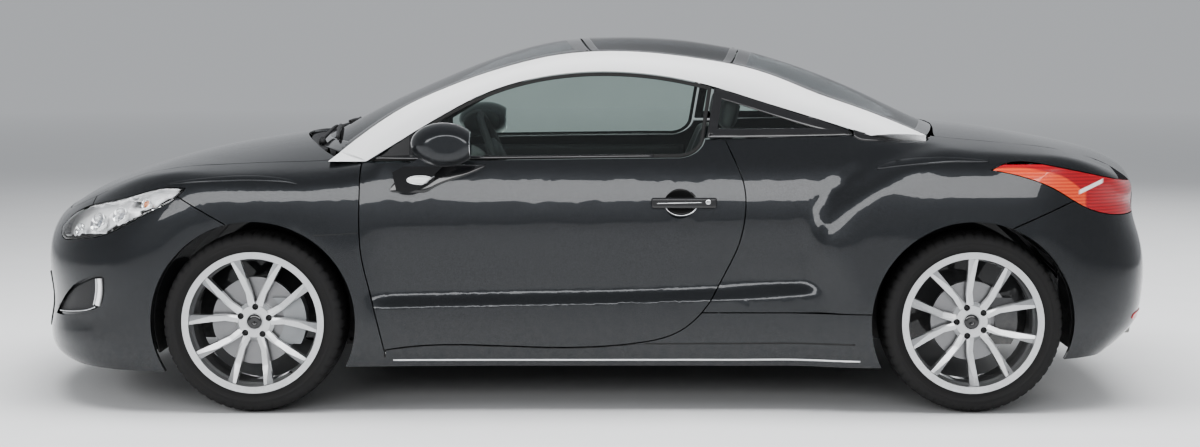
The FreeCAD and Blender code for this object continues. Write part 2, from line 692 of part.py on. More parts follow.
# Door hinge: an upright pin inside the door, held by two arms from the hinge pillar
DOOR_HINGE_X = station(-700)
DOOR_HINGE_Y = across(856)
HINGE_ARM_OUT = across(716)
HINGE_ARM = 20.0
ARM_HALF = 12.0
HINGE_HEIGHTS = (335.0, 700.0)
PIN_REACH = 20.0
door_sweep = [(0, 200), (34, 200), (37, 229), (51, 290), (66, 345), (74.5, 400), (89, 470), (111, 570),
              (117.5, 620), (117.5, 900), (0, 900)]
sweep_face = Part.Face(Part.makePolygon([V(DOOR_HINGE_X - r, DOOR_HINGE_Y, z) for r, z in door_sweep]
                                        + [V(DOOR_HINGE_X, DOOR_HINGE_Y, 200)]))
fender = fender.cut(sweep_face.revolve(V(DOOR_HINGE_X, DOOR_HINGE_Y, 0), V(0, 0, 1), 360))
door_hinge = []
for z in HINGE_HEIGHTS:
    pocket = box(station(-860), DOOR_HINGE_X + HINGE_ARM / 2 + 3, across(600), DOOR_HINGE_Y + 8.5,
                 z - ARM_HALF - 2, z + ARM_HALF + 2)
    door = door.cut([pocket, post(DOOR_HINGE_X, DOOR_HINGE_Y, z - ARM_HALF - PIN_REACH - 1,
                                  z + ARM_HALF + PIN_REACH + 1, PIN_RADIUS + PIN_PLAY)])
    door_hinge.append(box(station(-845), DOOR_HINGE_X + HINGE_ARM / 2, HINGE_ARM_OUT - HINGE_ARM,
                          HINGE_ARM_OUT, z - ARM_HALF, z + ARM_HALF))
    door_hinge.append(box(DOOR_HINGE_X - HINGE_ARM / 2 + 3, DOOR_HINGE_X + HINGE_ARM / 2 - 3,
                          HINGE_ARM_OUT - 1, DOOR_HINGE_Y, z - ARM_HALF, z + ARM_HALF))
    door_hinge.append(post(DOOR_HINGE_X, DOOR_HINGE_Y, z - ARM_HALF, z + ARM_HALF, 7))
    door_hinge.append(post(DOOR_HINGE_X, DOOR_HINGE_Y, z - ARM_HALF - PIN_REACH,
                           z + ARM_HALF + PIN_REACH, PIN_RADIUS))

# Bonnet hinge: a pin on an ear of each upper rail, in the thickness of the bonnet's rear corners
BONNET_HINGE_X = station(-990)
BONNET_HINGE_Z = 920.0
EAR_Y = 592.0
EAR = 8.0
PIN_LENGTH = 32.0
UPPER_RAIL_OUT = 600.0
HINGE_ROOM = 34.0
UPPER_RAIL_TOP = 770.0
bonnet_hinge = [box(BONNET_HINGE_X - 8, BONNET_HINGE_X + 8, EAR_Y, EAR_Y + EAR, UPPER_RAIL_TOP - 5,
                    BONNET_HINGE_Z), drum(BONNET_HINGE_X, EAR_Y, EAR_Y + EAR, BONNET_HINGE_Z, 8),
                drum(BONNET_HINGE_X, EAR_Y, EAR_Y + EAR + PIN_LENGTH, BONNET_HINGE_Z, PIN_RADIUS)]
for side in (-1, 1):
    low, high = sorted((side * (EAR_Y - 3), side * (EAR_Y + EAR + 3)))
    bonnet = bonnet.cut(box(BONNET_HINGE_X - 40, BONNET_HINGE_X + 12, low, high, 860,
                            BONNET_HINGE_Z + 10))
    low, high = sorted((side * EAR_Y, side * (EAR_Y + EAR + PIN_LENGTH + 2)))
    bonnet = bonnet.cut(drum(BONNET_HINGE_X, low, high, BONNET_HINGE_Z, PIN_RADIUS + PIN_PLAY))

# Boot hinge: a pin on an ear of the rear shelf, and an arm under the lid's front edge
BOOT_HINGE_X = station(1281)
BOOT_HINGE_Z = 993.0
BOOT_EAR_Y = 546.0
NECK_RADIUS = 9.5
SHELF = 12.0
# Room round the hinge line for the rear glass, as (radius, y): the lid's front edge stays outside it
glass_sweep = [(77.5, 0), (74.8, 150), (65, 300), (58.5, 360), (51, 420), (43.5, 470), (38.5, 500), (33.5, 530),
               (29, 560), (25, 590), (22, 615), (22, 660)]
sweep_face = Part.Face(Part.makePolygon([V(BOOT_HINGE_X, 0, BOOT_HINGE_Z)]
                                        + [V(BOOT_HINGE_X, y, BOOT_HINGE_Z + r) for r, y in glass_sweep]
                                        + [V(BOOT_HINGE_X, 660, BOOT_HINGE_Z),
                                           V(BOOT_HINGE_X, 0, BOOT_HINGE_Z)]))
lid_room = sweep_face.revolve(V(BOOT_HINGE_X, 0, BOOT_HINGE_Z), V(0, 1, 0), 360)
boot_lid = boot_lid.cut([lid_room, mirror(lid_room)])
boot_hinge = [box(BOOT_HINGE_X - 9, BOOT_HINGE_X + 9, BOOT_EAR_Y, BOOT_EAR_Y + EAR, SHELF_TOP - 30,
                  BOOT_HINGE_Z), drum(BOOT_HINGE_X, BOOT_EAR_Y, BOOT_EAR_Y + EAR, BOOT_HINGE_Z, 8),
              drum(BOOT_HINGE_X, BOOT_EAR_Y - PIN_LENGTH, BOOT_EAR_Y + EAR, BOOT_HINGE_Z, PIN_RADIUS)]
# A gooseneck, so that it passes under and behind the rear glass as the lid opens
neck = corners([(1272, 991), (1290, 991), (1292, 974), (1322, 974), (1325, 1000), (1345, 1000), (1345, 978),
                (1335, 956), (1277, 956)])
lid_arm = side_prism(neck, BOOT_EAR_Y - PIN_LENGTH, BOOT_EAR_Y - 1)
lid_arm = lid_arm.fuse(drum(BOOT_HINGE_X, BOOT_EAR_Y - PIN_LENGTH, BOOT_EAR_Y - 1, BOOT_HINGE_Z, NECK_RADIUS))
lid_arm = lid_arm.cut(drum(BOOT_HINGE_X, 400, 600, BOOT_HINGE_Z, PIN_RADIUS + PIN_PLAY))
boot_lid = boot_lid.fuse(both(lid_arm)).removeSplitter()

# Hidden structure
WALL_OUT = 484.0
RAIL_OUT = 474.0
LINER_OUT = 836.0
RAIL_Z = 400.0
POST_OUT = across(755)
SILL_OUT = across(770)
REAR_WALL_OUT = 640.0
REAR_RAIL_OUT = 620.0
REAR_RAIL_Z = 380.0
BEAM_FRONT = station(-1985)
BEAM_REAR = station(2030)
ARM_TOP = HUB_Z + 125.0
ARM_BOTTOM = HUB_Z - 125.0
ARM_THICK = 20.0
FRONT_CENTRE = HALF_FRONT
KINGPIN_Y = FRONT_CENTRE - KINGPIN_OFFSET
cowl_x = station(-925)


def liner(axle, y0, y1, cut_below):
    ring = drum(axle, y0, y1, HUB_Z, ARCH_RADIUS + LINER_WALL)
    ring = ring.cut(drum(axle, y0 + LINER_WALL, y1 + 1, HUB_Z, ARCH_RADIUS))
    return ring.cut(box(axle - 600, axle + 600, 0, 1300, -200, cut_below))


shell_parts = [
    box(cowl_x, station(1010), -FLOOR_HALF_WIDTH, FLOOR_HALF_WIDTH, FLOOR_TOP - FLOOR_PLATE, FLOOR_TOP),
    box(cowl_x, station(1010), -120, 120, FLOOR_TOP - 1, FLOOR_TOP + TUNNEL),
    box(cowl_x, cowl_x + 12, -FLOOR_HALF_WIDTH, FLOOR_HALF_WIDTH, FLOOR_TOP - FLOOR_PLATE, 842),
    box(cowl_x - 60, cowl_x + 12, -UPPER_RAIL_OUT, UPPER_RAIL_OUT, 800, 842),
    box(BEAM_FRONT, BEAM_FRONT + 35, -540, 540, RAIL_Z, RAIL_Z + 100),
    box(station(1000), station(1010), -REAR_RAIL_OUT, REAR_RAIL_OUT, FLOOR_TOP - FLOOR_PLATE, 900),
    box(station(1005), station(1965), -REAR_RAIL_OUT + 10, REAR_RAIL_OUT - 10, REAR_RAIL_Z,
        REAR_RAIL_Z + 12),
    box(station(1000), BOOT_HINGE_X + 14, -REAR_WALL_OUT, REAR_WALL_OUT, SHELF_TOP - 30 - SHELF,
        SHELF_TOP - 30),
    box(station(1960), station(1972), -570, 570, REAR_RAIL_Z, 590),
    box(station(1972) - 1, BEAM_REAR, -560, 560, REAR_RAIL_Z + 40, REAR_RAIL_Z + 120)]
half_shell = [
    box(station(-775), station(1000), FLOOR_HALF_WIDTH - 4, SILL_OUT, SILL_BOTTOM, 300),
    box(station(-905), station(-840), 640, POST_OUT, FLOOR_TOP - FLOOR_PLATE, PILLAR_TOP - SEAT_GAP),
    box(cowl_x, station(-850), 560, 645, 700, 842),
    box(station(600), station(650), 640, 700, 280, 960),
    box(BEAM_FRONT + 30, cowl_x + 5, RAIL_OUT - RAIL, RAIL_OUT, RAIL_Z, RAIL_Z + RAIL),
    box(station(-1760), cowl_x + 5, UPPER_RAIL_OUT - 50, UPPER_RAIL_OUT, UPPER_RAIL_TOP - 40,
        UPPER_RAIL_TOP),
    box(FRONT_AXLE - 330, FRONT_AXLE + 260, WALL_OUT - LINER_WALL, UPPER_RAIL_OUT - 40, 700,
        UPPER_RAIL_TOP - 10),
    box(FRONT_AXLE - 20, FRONT_AXLE + 20, RAIL_OUT - 2, KINGPIN_Y + 14, ARM_TOP, ARM_TOP + ARM_THICK),
    post(FRONT_AXLE, KINGPIN_Y, ARM_TOP - 20, ARM_TOP + 1, KINGPIN_RADIUS),
    box(station(960), station(1972), REAR_RAIL_OUT - RAIL, REAR_RAIL_OUT, REAR_RAIL_Z,
        REAR_RAIL_Z + RAIL),
    box(station(1000), station(1300), REAR_WALL_OUT - 8, REAR_WALL_OUT, 600, SHELF_TOP - SEAT_GAP),
    box(station(1000), station(1300), REAR_WALL_OUT - 8, across(742), 890, SHELF_TOP - SEAT_GAP)]
half_shell += door_hinge + bonnet_hinge + boot_hinge
half_shell.append(liner(FRONT_AXLE, WALL_OUT - LINER_WALL, across(LINER_OUT), 212))
half_shell.append(liner(REAR_AXLE, REAR_WALL_OUT - LINER_WALL, across(LINER_OUT), 232))
shell = fuse(shell_parts + half_shell + [mirror(s) for s in half_shell])
hollow = [box(cowl_x - 1, station(1010) + 1, -108, 108, 0, FLOOR_TOP + TUNNEL - 12)]
half_hollow = [
    drum(FRONT_AXLE, WALL_OUT, WIDTH, HUB_Z, ARCH_RADIUS),
    drum(REAR_AXLE, REAR_WALL_OUT, WIDTH, HUB_Z, ARCH_RADIUS),
    box(FRONT_AXLE - 60, FRONT_AXLE + 60, WALL_OUT - LINER_WALL - 1, WALL_OUT + 1, 180, ARM_TOP - 5),
    box(REAR_AXLE - 70, REAR_AXLE + 70, REAR_WALL_OUT - LINER_WALL - 1, REAR_WALL_OUT + 1, 270, 372)]
arms = [box(FRONT_AXLE - 20, FRONT_AXLE + 20, WALL_OUT - 2, KINGPIN_Y + 14, ARM_TOP, ARM_TOP + ARM_THICK),
        post(FRONT_AXLE, KINGPIN_Y, ARM_TOP - 20, ARM_TOP + 1, KINGPIN_RADIUS)]
shell = shell.cut(hollow + half_hollow + [mirror(s) for s in half_hollow])
shell = shell.fuse(arms + [mirror(s) for s in arms]).removeSplitter()
keep("body_shell", [shell])


def tab(x, width, inner, z0, z1, sunk):
    """A tab behind a panel, from its seat on the structure into the panel's thickness."""
    middle = (z0 + z1) / 2
    out = across(wall_at(x, middle)) - sunk
    return box(station(x) - width / 2, station(x) + width / 2, inner + SEAT_GAP, out, z0, z1)


fender = fender.fuse([tab(-1000, 40, UPPER_RAIL_OUT, 735, 765, 12),
                      tab(-1330, 40, UPPER_RAIL_OUT, 742, 766, 12)]).removeSplitter()
headlamp = headlamp.fuse(tab(-1640, 40, UPPER_RAIL_OUT, 735, 760, 25)).removeSplitter()
quarter = quarter.fuse([tab(625, 40, 700, 700, 740, 12), tab(1150, 40, across(742), 895, 920, 12)])
quarter = quarter.removeSplitter()
skirt = skirt.fuse([tab(-500, 60, SILL_OUT, 190, 215, 12), tab(800, 60, SILL_OUT, 190, 215, 12)])
skirt = skirt.removeSplitter()
nose_tabs = [box(station(-2064), BEAM_FRONT - SEAT_GAP, y - 50, y + 50, RAIL_Z + 20, RAIL_Z + 80)
             for y in (-350, 350)]
front_bumper = front_bumper.fuse(nose_tabs).removeSplitter()
tail_tabs = [box(BEAM_REAR + SEAT_GAP, station(2116), y - 50, y + 50, REAR_RAIL_Z + 50, REAR_RAIL_Z + 110)
             for y in (-300, 300)]
rear_bumper = rear_bumper.fuse(tail_tabs).removeSplitter()
lamp_tab = box(station(1780), station(1820), REAR_RAIL_OUT, across(wall_at(1800, 790)) - 25, 778, 803)
lamp_leg = box(station(1780), station(1820), REAR_RAIL_OUT - 30, REAR_RAIL_OUT + 10, REAR_RAIL_Z + RAIL
               + SEAT_GAP, 803)
tail_lamp = tail_lamp.fuse([lamp_tab, lamp_leg]).removeSplitter()

# Cowl between the bonnet and the windscreen, with a rib on the firewall beam
cowl_outer = []
for v in spread(-1.0, 1.0, 13):
    y = v * 668
    front = curve([(0, -1124), (200, -1108), (400, -1060), (600, -985), (722, -912)])(abs(y)) + 12
    rear = -1088 + 183 * (y / 720) ** 2 - SEAT_GAP
    row = []
    for t in (0.0, 0.5, 1.0):
        x = front + (rear - front) * t
        z_front = top_at(front, y) - 14
        z_rear = 951 - 10 * abs(y / 720) ** 2.3
        row.append([x, y, z_front + (z_rear - z_front) * t])
    cowl_outer.append(row)
cowl_inner = [[[p[0], p[1], p[2] - 10] for p in row] for row in cowl_outer]
cowl = between(cowl_outer, cowl_inner)
# Room for the bonnet's rear corners, which turn down behind their hinge
cowl = cowl.cut([drum(BONNET_HINGE_X, *ends, BONNET_HINGE_Z, HINGE_ROOM) for ends in ((-760, -560), (560, 760))])
keep("cowl", [cowl])

# Wheels
def lathe(profile, x, y, side):
    """A ring about the wheel's axis from (distance outwards, radius) points."""
    points = [V(x, y + side * p[0], HUB_Z + p[1]) for p in profile]
    return Part.Face(Part.makePolygon(points + [points[0]])).revolve(V(x, y, HUB_Z), V(0, 1, 0), 360)


def tyre_at(x, y, side):
    half = TYRE_WIDTH / 2
    seat = RIM_WIDTH / 2 - 6
    r = TYRE_RADIUS
    b = BEAD_RADIUS + SEAT_GAP
    rise = RIM_RADIUS + 6
    profile = [(-seat, b), (-seat, rise), (-half + 2, rise + 14), (-half, r - 45), (-half + 8, r - 20),
               (-half + 26, r - 5), (-half + 62, r), (half - 62, r), (half - 26, r - 5),
               (half - 8, r - 20), (half, r - 45), (half - 2, rise + 14), (seat, rise), (seat, b),
               (seat - 20, b), (half - 26, r - 60), (half - 40, r - 24), (-half + 40, r - 24),
               (-half + 26, r - 60), (-seat + 20, b)]
    return lathe(profile, x, y, side)


def rim_at(x, y, side, first):
    half = RIM_WIDTH / 2
    w = RIM_WALL
    b = BEAD_RADIUS
    f = RIM_RADIUS
    barrel = lathe([(-half, f), (-half + 5, f), (-half + 5, b), (half - 5, b), (half - 5, f), (half, f),
                    (half, b - w), (half - 30, b - w - 4), (half - 44, b - w - 10), (0, b - w - 10),
                    (-half + 30, b - w - 4), (-half, b - w)], x, y, side)
    face = RIM_OFFSET
    hub = lathe([(face, HUB_BORE), (face, HUB_RADIUS), (face + 22, HUB_RADIUS), (face + 34, HUB_RADIUS - 14),
                 (face + 34, HUB_BORE)], x, y, side)
    cap = drum(x, y + side * (face + 24), y + side * (face + 32), HUB_Z, HUB_BORE + 1)
    solids = [barrel, hub, cap]
    for pair in range(SPOKE_PAIRS):
        middle = first + 360.0 / SPOKE_PAIRS * pair
        for lean in (-1, 1):
            sections = []
            for radius, angle, wide, inner, outer, ridge, fall in (
                    (HUB_RADIUS - 16, 13.0, 15.0, face + 17, face + 34, 0.10, 2.0),
                    (HUB_RADIUS + 36, 14.0, 12.5, face + 18, face + 38, 0.55, 2.5),
                    (0.5 * (HUB_RADIUS + b) + 6, 17.5, 14.5, face + 20, face + 47, 0.62, 5.0),
                    (b - w - 2, 19.5, 18.0, half - 42, half - 7, -0.25, 17.0)):
                turn = math.radians(middle + lean * angle)
                way = V(math.sin(turn), 0, math.cos(turn))
                flank = V(way.z, 0, -way.x) * (-lean * wide)
                spot = V(x, y, HUB_Z) + way * radius
                ring = [spot + flank * share + V(0, side * depth, 0)
                        for share, depth in ((-1.0, inner), (1.0, inner), (0.92, outer - fall),
                                             (ridge, outer), (-0.88, outer - 3.0))]
                sections.append(Part.makePolygon(ring + [ring[0]]))
            solids.append(Part.makeLoft(sections, True, True))
    rim = solids[0].fuse(solids[1:])
    bolts = []
    for pair in range(SPOKE_PAIRS):
        turn = math.radians(first + 360.0 / SPOKE_PAIRS * pair)
        bx = x + BOLT_CIRCLE * math.sin(turn)
        bz = HUB_Z + BOLT_CIRCLE * math.cos(turn)
        bolts.append(drum(bx, y + side * (face + 14), y + side * (face + 60), bz, BOLT_RECESS))
    return rim.cut(bolts).removeSplitter()


def caliper_at(x, y, side, disc, root):
    """A caliper behind the axle: two jaws, a bridge over the disc and a bracket to the upright."""
    inner = RIM_OFFSET - SEAT_GAP - DISC_THICKNESS
    outer = RIM_OFFSET - SEAT_GAP
    low = y + side * (inner - 30)
    high = y + side * (outer + 14)
    whole_block = drum(x, low, high, HUB_Z, disc + 26).cut(drum(x, low - 1, high + 1, HUB_Z, disc - 55))
    keep_box = box(x + 60, x + 300, min(low, high), max(low, high), HUB_Z - 85, HUB_Z + 85)
    slot = drum(x, y + side * (inner - 2), y + side * (outer + 2), HUB_Z, disc + 5)
    block = whole_block.common(keep_box).cut(slot)
    bracket = box(x + 20, x + disc - 30, min(root, low + side * 8), max(root, low + side * 8),
                  HUB_Z - 30, HUB_Z + 30)
    return [block, bracket]


STUB_OUT = RIM_OFFSET + 22.0
wheel_table = [("fl", FRONT_AXLE, -HALF_FRONT, FRONT_DISC_RADIUS),
               ("fr", FRONT_AXLE, HALF_FRONT, FRONT_DISC_RADIUS),
               ("rl", REAR_AXLE, -HALF_REAR, REAR_DISC_RADIUS),
               ("rr", REAR_AXLE, HALF_REAR, REAR_DISC_RADIUS)]
for name, x, y, disc in wheel_table:
    side = 1 if y > 0 else -1
    keep("tyre_" + name, [tyre_at(x, y, side)])
    keep("rim_" + name, [rim_at(x, y, side, FRONT_WHEEL_TURN if name[0] == "f" else REAR_WHEEL_TURN)])
    inner = RIM_OFFSET - SEAT_GAP - DISC_THICKNESS
    keep("brake_disc_" + name, [lathe([(inner, HUB_BORE), (inner, disc), (inner + DISC_THICKNESS, disc),
                                       (inner + DISC_THICKNESS, HUB_BORE)], x, y, side)])

# Steered uprights between the arm of the subframe and the arm of the shell
knuckle_parts = [box(FRONT_AXLE - 32, FRONT_AXLE + 32, KINGPIN_Y - 28, KINGPIN_Y + 28,
                     ARM_BOTTOM + SEAT_GAP, ARM_TOP - SEAT_GAP),
                 drum(FRONT_AXLE, KINGPIN_Y, FRONT_CENTRE + STUB_OUT, HUB_Z, HUB_BORE - PIN_PLAY)]
knuckle_parts += caliper_at(FRONT_AXLE, FRONT_CENTRE, 1, FRONT_DISC_RADIUS, KINGPIN_Y)
knuckle = fuse(knuckle_parts)
knuckle = knuckle.cut([post(FRONT_AXLE, KINGPIN_Y, ARM_TOP - 22, ARM_TOP, KINGPIN_RADIUS + PIN_PLAY),
                       post(FRONT_AXLE, KINGPIN_Y, ARM_BOTTOM, ARM_BOTTOM + 22, KINGPIN_RADIUS + PIN_PLAY)])
keep("knuckle_right", [knuckle])
keep("knuckle_left", [mirror(knuckle)])

subframe_parts = [box(FRONT_AXLE - 55, FRONT_AXLE + 55, -RAIL_OUT, RAIL_OUT, ARM_BOTTOM - 20, ARM_BOTTOM)]
for side in (-1, 1):
    arm = [box(FRONT_AXLE - 20, FRONT_AXLE + 20, RAIL_OUT - 5, KINGPIN_Y + 14, ARM_BOTTOM - ARM_THICK,
               ARM_BOTTOM), post(FRONT_AXLE, KINGPIN_Y, ARM_BOTTOM - 1, ARM_BOTTOM + 20, KINGPIN_RADIUS),
           box(FRONT_AXLE - 55, FRONT_AXLE + 55, RAIL_OUT - RAIL, RAIL_OUT, ARM_BOTTOM - 1,
               RAIL_Z - SEAT_GAP)]
    subframe_parts += arm if side > 0 else [mirror(a) for a in arm]
keep("front_subframe", [fuse(subframe_parts)])

# Rear axle: a twist beam on pads under the rear rails
beam_end = HALF_REAR - 30.0
axle_parts = [box(REAR_AXLE - 45, REAR_AXLE + 45, -beam_end, beam_end, HUB_Z - 32, HUB_Z + 32)]
for side in (-1, 1):
    half = [drum(REAR_AXLE, beam_end - 5, HALF_REAR + STUB_OUT, HUB_Z, HUB_BORE - PIN_PLAY),
            box(REAR_AXLE - 35, REAR_AXLE + 35, REAR_RAIL_OUT - RAIL, REAR_RAIL_OUT, HUB_Z + 30,
                REAR_RAIL_Z - SEAT_GAP)]
    half += caliper_at(REAR_AXLE, HALF_REAR, 1, REAR_DISC_RADIUS, beam_end - 20)
    axle_parts += half if side > 0 else [mirror(h) for h in half]
keep("rear_axle", [fuse(axle_parts)])

# Engine and gearbox as one block on its two mounts, exhaust with silencer and two tail pipes
engine = [box(station(-1800), station(-1340), -380, 380, 280, 700),
          box(station(-1740), station(-1420), -260, 260, 699, 760)]
engine += [box(station(-1650), station(-1590), y0, y1, RAIL_Z + 10, RAIL_Z + 50)
           for y0, y1 in ((-RAIL_OUT + RAIL + SEAT_GAP, -379), (379, RAIL_OUT - RAIL - SEAT_GAP))]
keep("engine_block", [fuse(engine)])
PIPE = 32.0
exhaust_parts = [Part.makeCylinder(PIPE, station(1050) - station(-900), V(station(-900), 0, 235),
                                   V(1, 0, 0)),
                 box(station(1025), station(1065), -520, PIPE, 235 - 20, 235 + 20),
                 Part.makeCylinder(20, station(1720) - station(1030), V(station(1030), -500, 235),
                                   V(1, 0, 0)),
                 box(station(1700), station(1900), -540, -120, 205, 300)]
for y in (-480, -400):
    exhaust_parts.append(Part.makeCylinder(PIPE, station(2075) - station(1890), V(station(1890), y, 262),
                                           V(1, 0, 0)))
exhaust_parts.append(box(station(1780), station(1820), -380, -340, 299, REAR_RAIL_Z - SEAT_GAP))
exhaust = fuse(exhaust_parts)
exhaust = exhaust.cut([Part.makeCylinder(PIPE - 3, 160, V(station(2075) - 150, y, 262), V(1, 0, 0))
                       for y in (-480, -400)])
pipe_room = [Part.makeCylinder(PIPE + 6, 400, V(station(1800), y, 262), V(1, 0, 0)) for y in (-480, -400)]
rear_bumper = rear_bumper.cut(pipe_room)
keep("exhaust", [exhaust])

# Cabin
DASH_HALF = 656.0
dash = side_prism([(-880, 600, 1), (-911, 640, 1), (-911, 885, 1), (-800, 908), (-640, 900), (-500, 868),
                   (-446, 800, 1), (-470, 740), (-540, 690), (-560, 600, 1)], -DASH_HALF, DASH_HALF)
g = SEAT_GAP
dash = dash.cut(both(box(station(-1000), station(-840) + g, 640 - g, 760, 0, 1000)))
dash = dash.cut(both(box(station(-1000), station(-850) + g, 560 - g, 760, 0, 1000)))
seat_outline = [(-150, 300, 1), (-170, 440), (-60, 492), (120, 470), (235, 455, 1), (330, 640),
                (425, 880), (470, 985), (500, 1030), (512, 1130), (560, 1150), (596, 1120), (588, 1020),
                (575, 960), (510, 740), (420, 470), (360, 340), (330, 300, 1)]
seat = side_prism(seat_outline, SEAT_CENTRE - SEAT_WIDTH / 2, SEAT_CENTRE + SEAT_WIDTH / 2)
narrow = [box(station(380), station(700), SEAT_CENTRE + side * (130 if side > 0 else 300),
              SEAT_CENTRE + side * (300 if side > 0 else 130), 985, 1200) for side in (-1, 1)]
seat = seat.cut(narrow)
seat = seat.fuse(box(station(-80), station(280), SEAT_CENTRE - 190, SEAT_CENTRE + 190,
                     FLOOR_TOP + SEAT_GAP, 305)).removeSplitter()
keep("front_seats", both(seat))
seat_base = FLOOR_TOP + TUNNEL + SEAT_GAP
rear_seat = side_prism([(690, seat_base, 1), (680, 430), (740, 462), (900, 440, 1), (950, 700), (975, 850),
                        (994, 850, 1), (998, seat_base, 1)], -545, 545)
rear_seat = rear_seat.fuse(both(box(station(720), station(980), 150, 500, FLOOR_TOP + SEAT_GAP,
                                    seat_base + 1)))
rear_seat = rear_seat.removeSplitter()
keep("rear_seat", [rear_seat])

# Steering wheel on its column
WHEEL_TILT = math.radians(24)
wheel_axis = V(math.cos(WHEEL_TILT), 0, math.sin(WHEEL_TILT))
wheel_centre = V(station(-345), -SEAT_CENTRE, 905)
RIM_SECTION = 14.0
COLUMN_RADIUS = 20.0
ring = Part.makeTorus(STEERING_RADIUS - RIM_SECTION, RIM_SECTION, wheel_centre, wheel_axis)
boss = Part.makeCylinder(62, 26, wheel_centre - wheel_axis * 30, wheel_axis)
spokes = []
flat = V(0, 1, 0)
upright = V(-math.sin(WHEEL_TILT), 0, math.cos(WHEEL_TILT))
for angle in (0, 180, 270):
    a = math.radians(angle)
    way = flat * math.cos(a) + upright * math.sin(a)
    spokes.append(Part.makeCylinder(11, STEERING_RADIUS - RIM_SECTION, wheel_centre - wheel_axis * 12, way))
column = Part.makeCylinder(COLUMN_RADIUS, 200, wheel_centre - wheel_axis * 229, wheel_axis)
keep("steering_wheel", [fuse([ring, boss, column] + spokes)])
dash = dash.cut(Part.makeCylinder(COLUMN_RADIUS + PIN_PLAY, 400, wheel_centre - wheel_axis * 232,
                                  wheel_axis))
keep("dashboard", [dash])

# Lower grille behind an intake in the front bumper
INTAKE_LOW = 262.0
INTAKE_HIGH = 470.0
INTAKE_HALF = 470.0
SLAT = 16.0
intake_outline = [(-INTAKE_HALF, INTAKE_HIGH, 1), (INTAKE_HALF, INTAKE_HIGH, 1),
                  (INTAKE_HALF - 90, INTAKE_LOW, 1), (-INTAKE_HALF + 90, INTAKE_LOW, 1)]


intake = front_prism(intake_outline, station(-2300), station(-1900))
front_bumper = front_bumper.cut(intake.cut([box(station(-2400), station(-1800), -1000, 1000,
                                                RAIL_Z + 19, RAIL_Z + 81)]))
grille_heights = spread(INTAKE_LOW - 20, INTAKE_HIGH + 30, 7)
grille_rays = wrap_rays(-1500, -1, [a for a in (-60, -48, -36, -24, -12, 0, 12, 24, 36, 48, 60)],
                        grille_heights)
grille_outer = []
grille_inner = []
for row in grille_rays:
    outer_row = []
    inner_row = []
    for start, way in row:
        far = reach(start, way, 1600.0) - PANEL - SEAT_GAP - 1
        outer_row.append([start[k] + way[k] * far for k in range(3)])
        inner_row.append([start[k] + way[k] * (far - 8) for k in range(3)])
    grille_outer.append(outer_row)
    grille_inner.append(inner_row)
grille = between(grille_outer, grille_inner)
grille = grille.common(front_prism(grow(intake_outline, 12), station(-2300), station(-1800)))
slots = []
z = INTAKE_LOW + 6
while z + SLAT < INTAKE_HIGH:
    for y0, y1 in ((-430, -12), (12, 430)):
        slots.append(box(station(-2300), station(-1800), y0, y1, z, z + SLAT))
    z += SLAT + 10
grille = grille.cut(slots + [box(station(-2200), BEAM_FRONT + 40, -410, -290, RAIL_Z + 10, RAIL_Z + 90),
                             box(station(-2200), BEAM_FRONT + 40, 290, 410, RAIL_Z + 10, RAIL_Z + 90)])
keep("grille", [grille])

# Mirrors on the doors
door_face = skin_face([[(p[0][0], reach(p[0], p[1], 1400.0), p[0][2]) for p in row] for row in door_rays])
door_clear = door_face.extrude(V(0, -200, 0))
door_clear.translate(V(0, SEAT_GAP, 0))
sections = []
for y, x_mid, z_mid, rx, rz in ((900, -520, 975, 62, 40), (915, -508, 979, 95, 62), (960, -500, 982, 118, 78),
                                (1010, -492, 984, 112, 72), (1040, -486, 985, 88, 52),
                                (1050, -484, 986, 56, 30)):
    ellipse = Part.Ellipse(V(0, 0, 0), rx, rz)
    edge = ellipse.toShape()
    edge.rotate(V(0, 0, 0), V(1, 0, 0), 90)
    edge.translate(V(station(x_mid), across(y), z_mid))
    sections.append(Part.Wire([edge]))
housing = Part.makeLoft(sections, True, False)
foot = side_prism([(-690, 880, 1), (-676, 815, 1), (-640, 806), (-560, 850), (-470, 925, 1), (-560, 950, 1),
                   (-640, 905)], 780, 925).cut(door_clear)
mirror_solid = fuse([housing, foot])
mirror_solid = mirror_solid.cut(box(station(-404), station(-300), 800, 1200, 800, 1100))
keep("mirror_right", [mirror_solid])
keep("mirror_left", [mirror(mirror_solid)])

# Door handles in front of a bowl in the door
HANDLE_X0 = 242.0
HANDLE_X1 = 480.0
HANDLE_Z = 765.0
HANDLE_TALL = 38.0
handle_skin = across(wall_at(360, HANDLE_Z))
grip = box(station(HANDLE_X0), station(HANDLE_X1), handle_skin + 14, handle_skin + 32,
           HANDLE_Z - HANDLE_TALL / 2, HANDLE_Z + HANDLE_TALL / 2)
grip = grip.makeFillet(8, [e for e in grip.Edges])
feet = [box(station(x0), station(x1), handle_skin - 20, handle_skin + 20, HANDLE_Z - 14, HANDLE_Z + 14)
        for x0, x1 in ((250, 282), (432, 474))]
bowl = Part.makeSphere(90, V(station(346), handle_skin + 70, 768))
handle = fuse([grip] + [foot_piece.cut(door_clear) for foot_piece in feet])
keep("handle_right", [handle])
keep("handle_left", [mirror(handle)])
door = door.cut(bowl)

keep("front_fenders", both(fender))
keep("quarter_panels", both(quarter))
keep("door_right", [door])
keep("door_left", [mirror(door)])
keep("door_glass_right", [door_glass])
keep("door_glass_left", [mirror(door_glass)])
keep("quarter_glass", both(quarter_glass))
keep("front_bumper", [front_bumper])
keep("rear_bumper", [rear_bumper])
keep("headlamps", both(headlamp))
keep("tail_lamps", both(tail_lamp))
keep("bonnet", [bonnet])
keep("boot_lid", [boot_lid])
keep("side_skirts", both(skirt))

for name, shape in nodes.items():
    shape.exportStep("parts/" + name + ".step")
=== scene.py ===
import math

import bmesh
import bpy
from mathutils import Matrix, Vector, noise
from mathutils.bvhtree import BVHTree


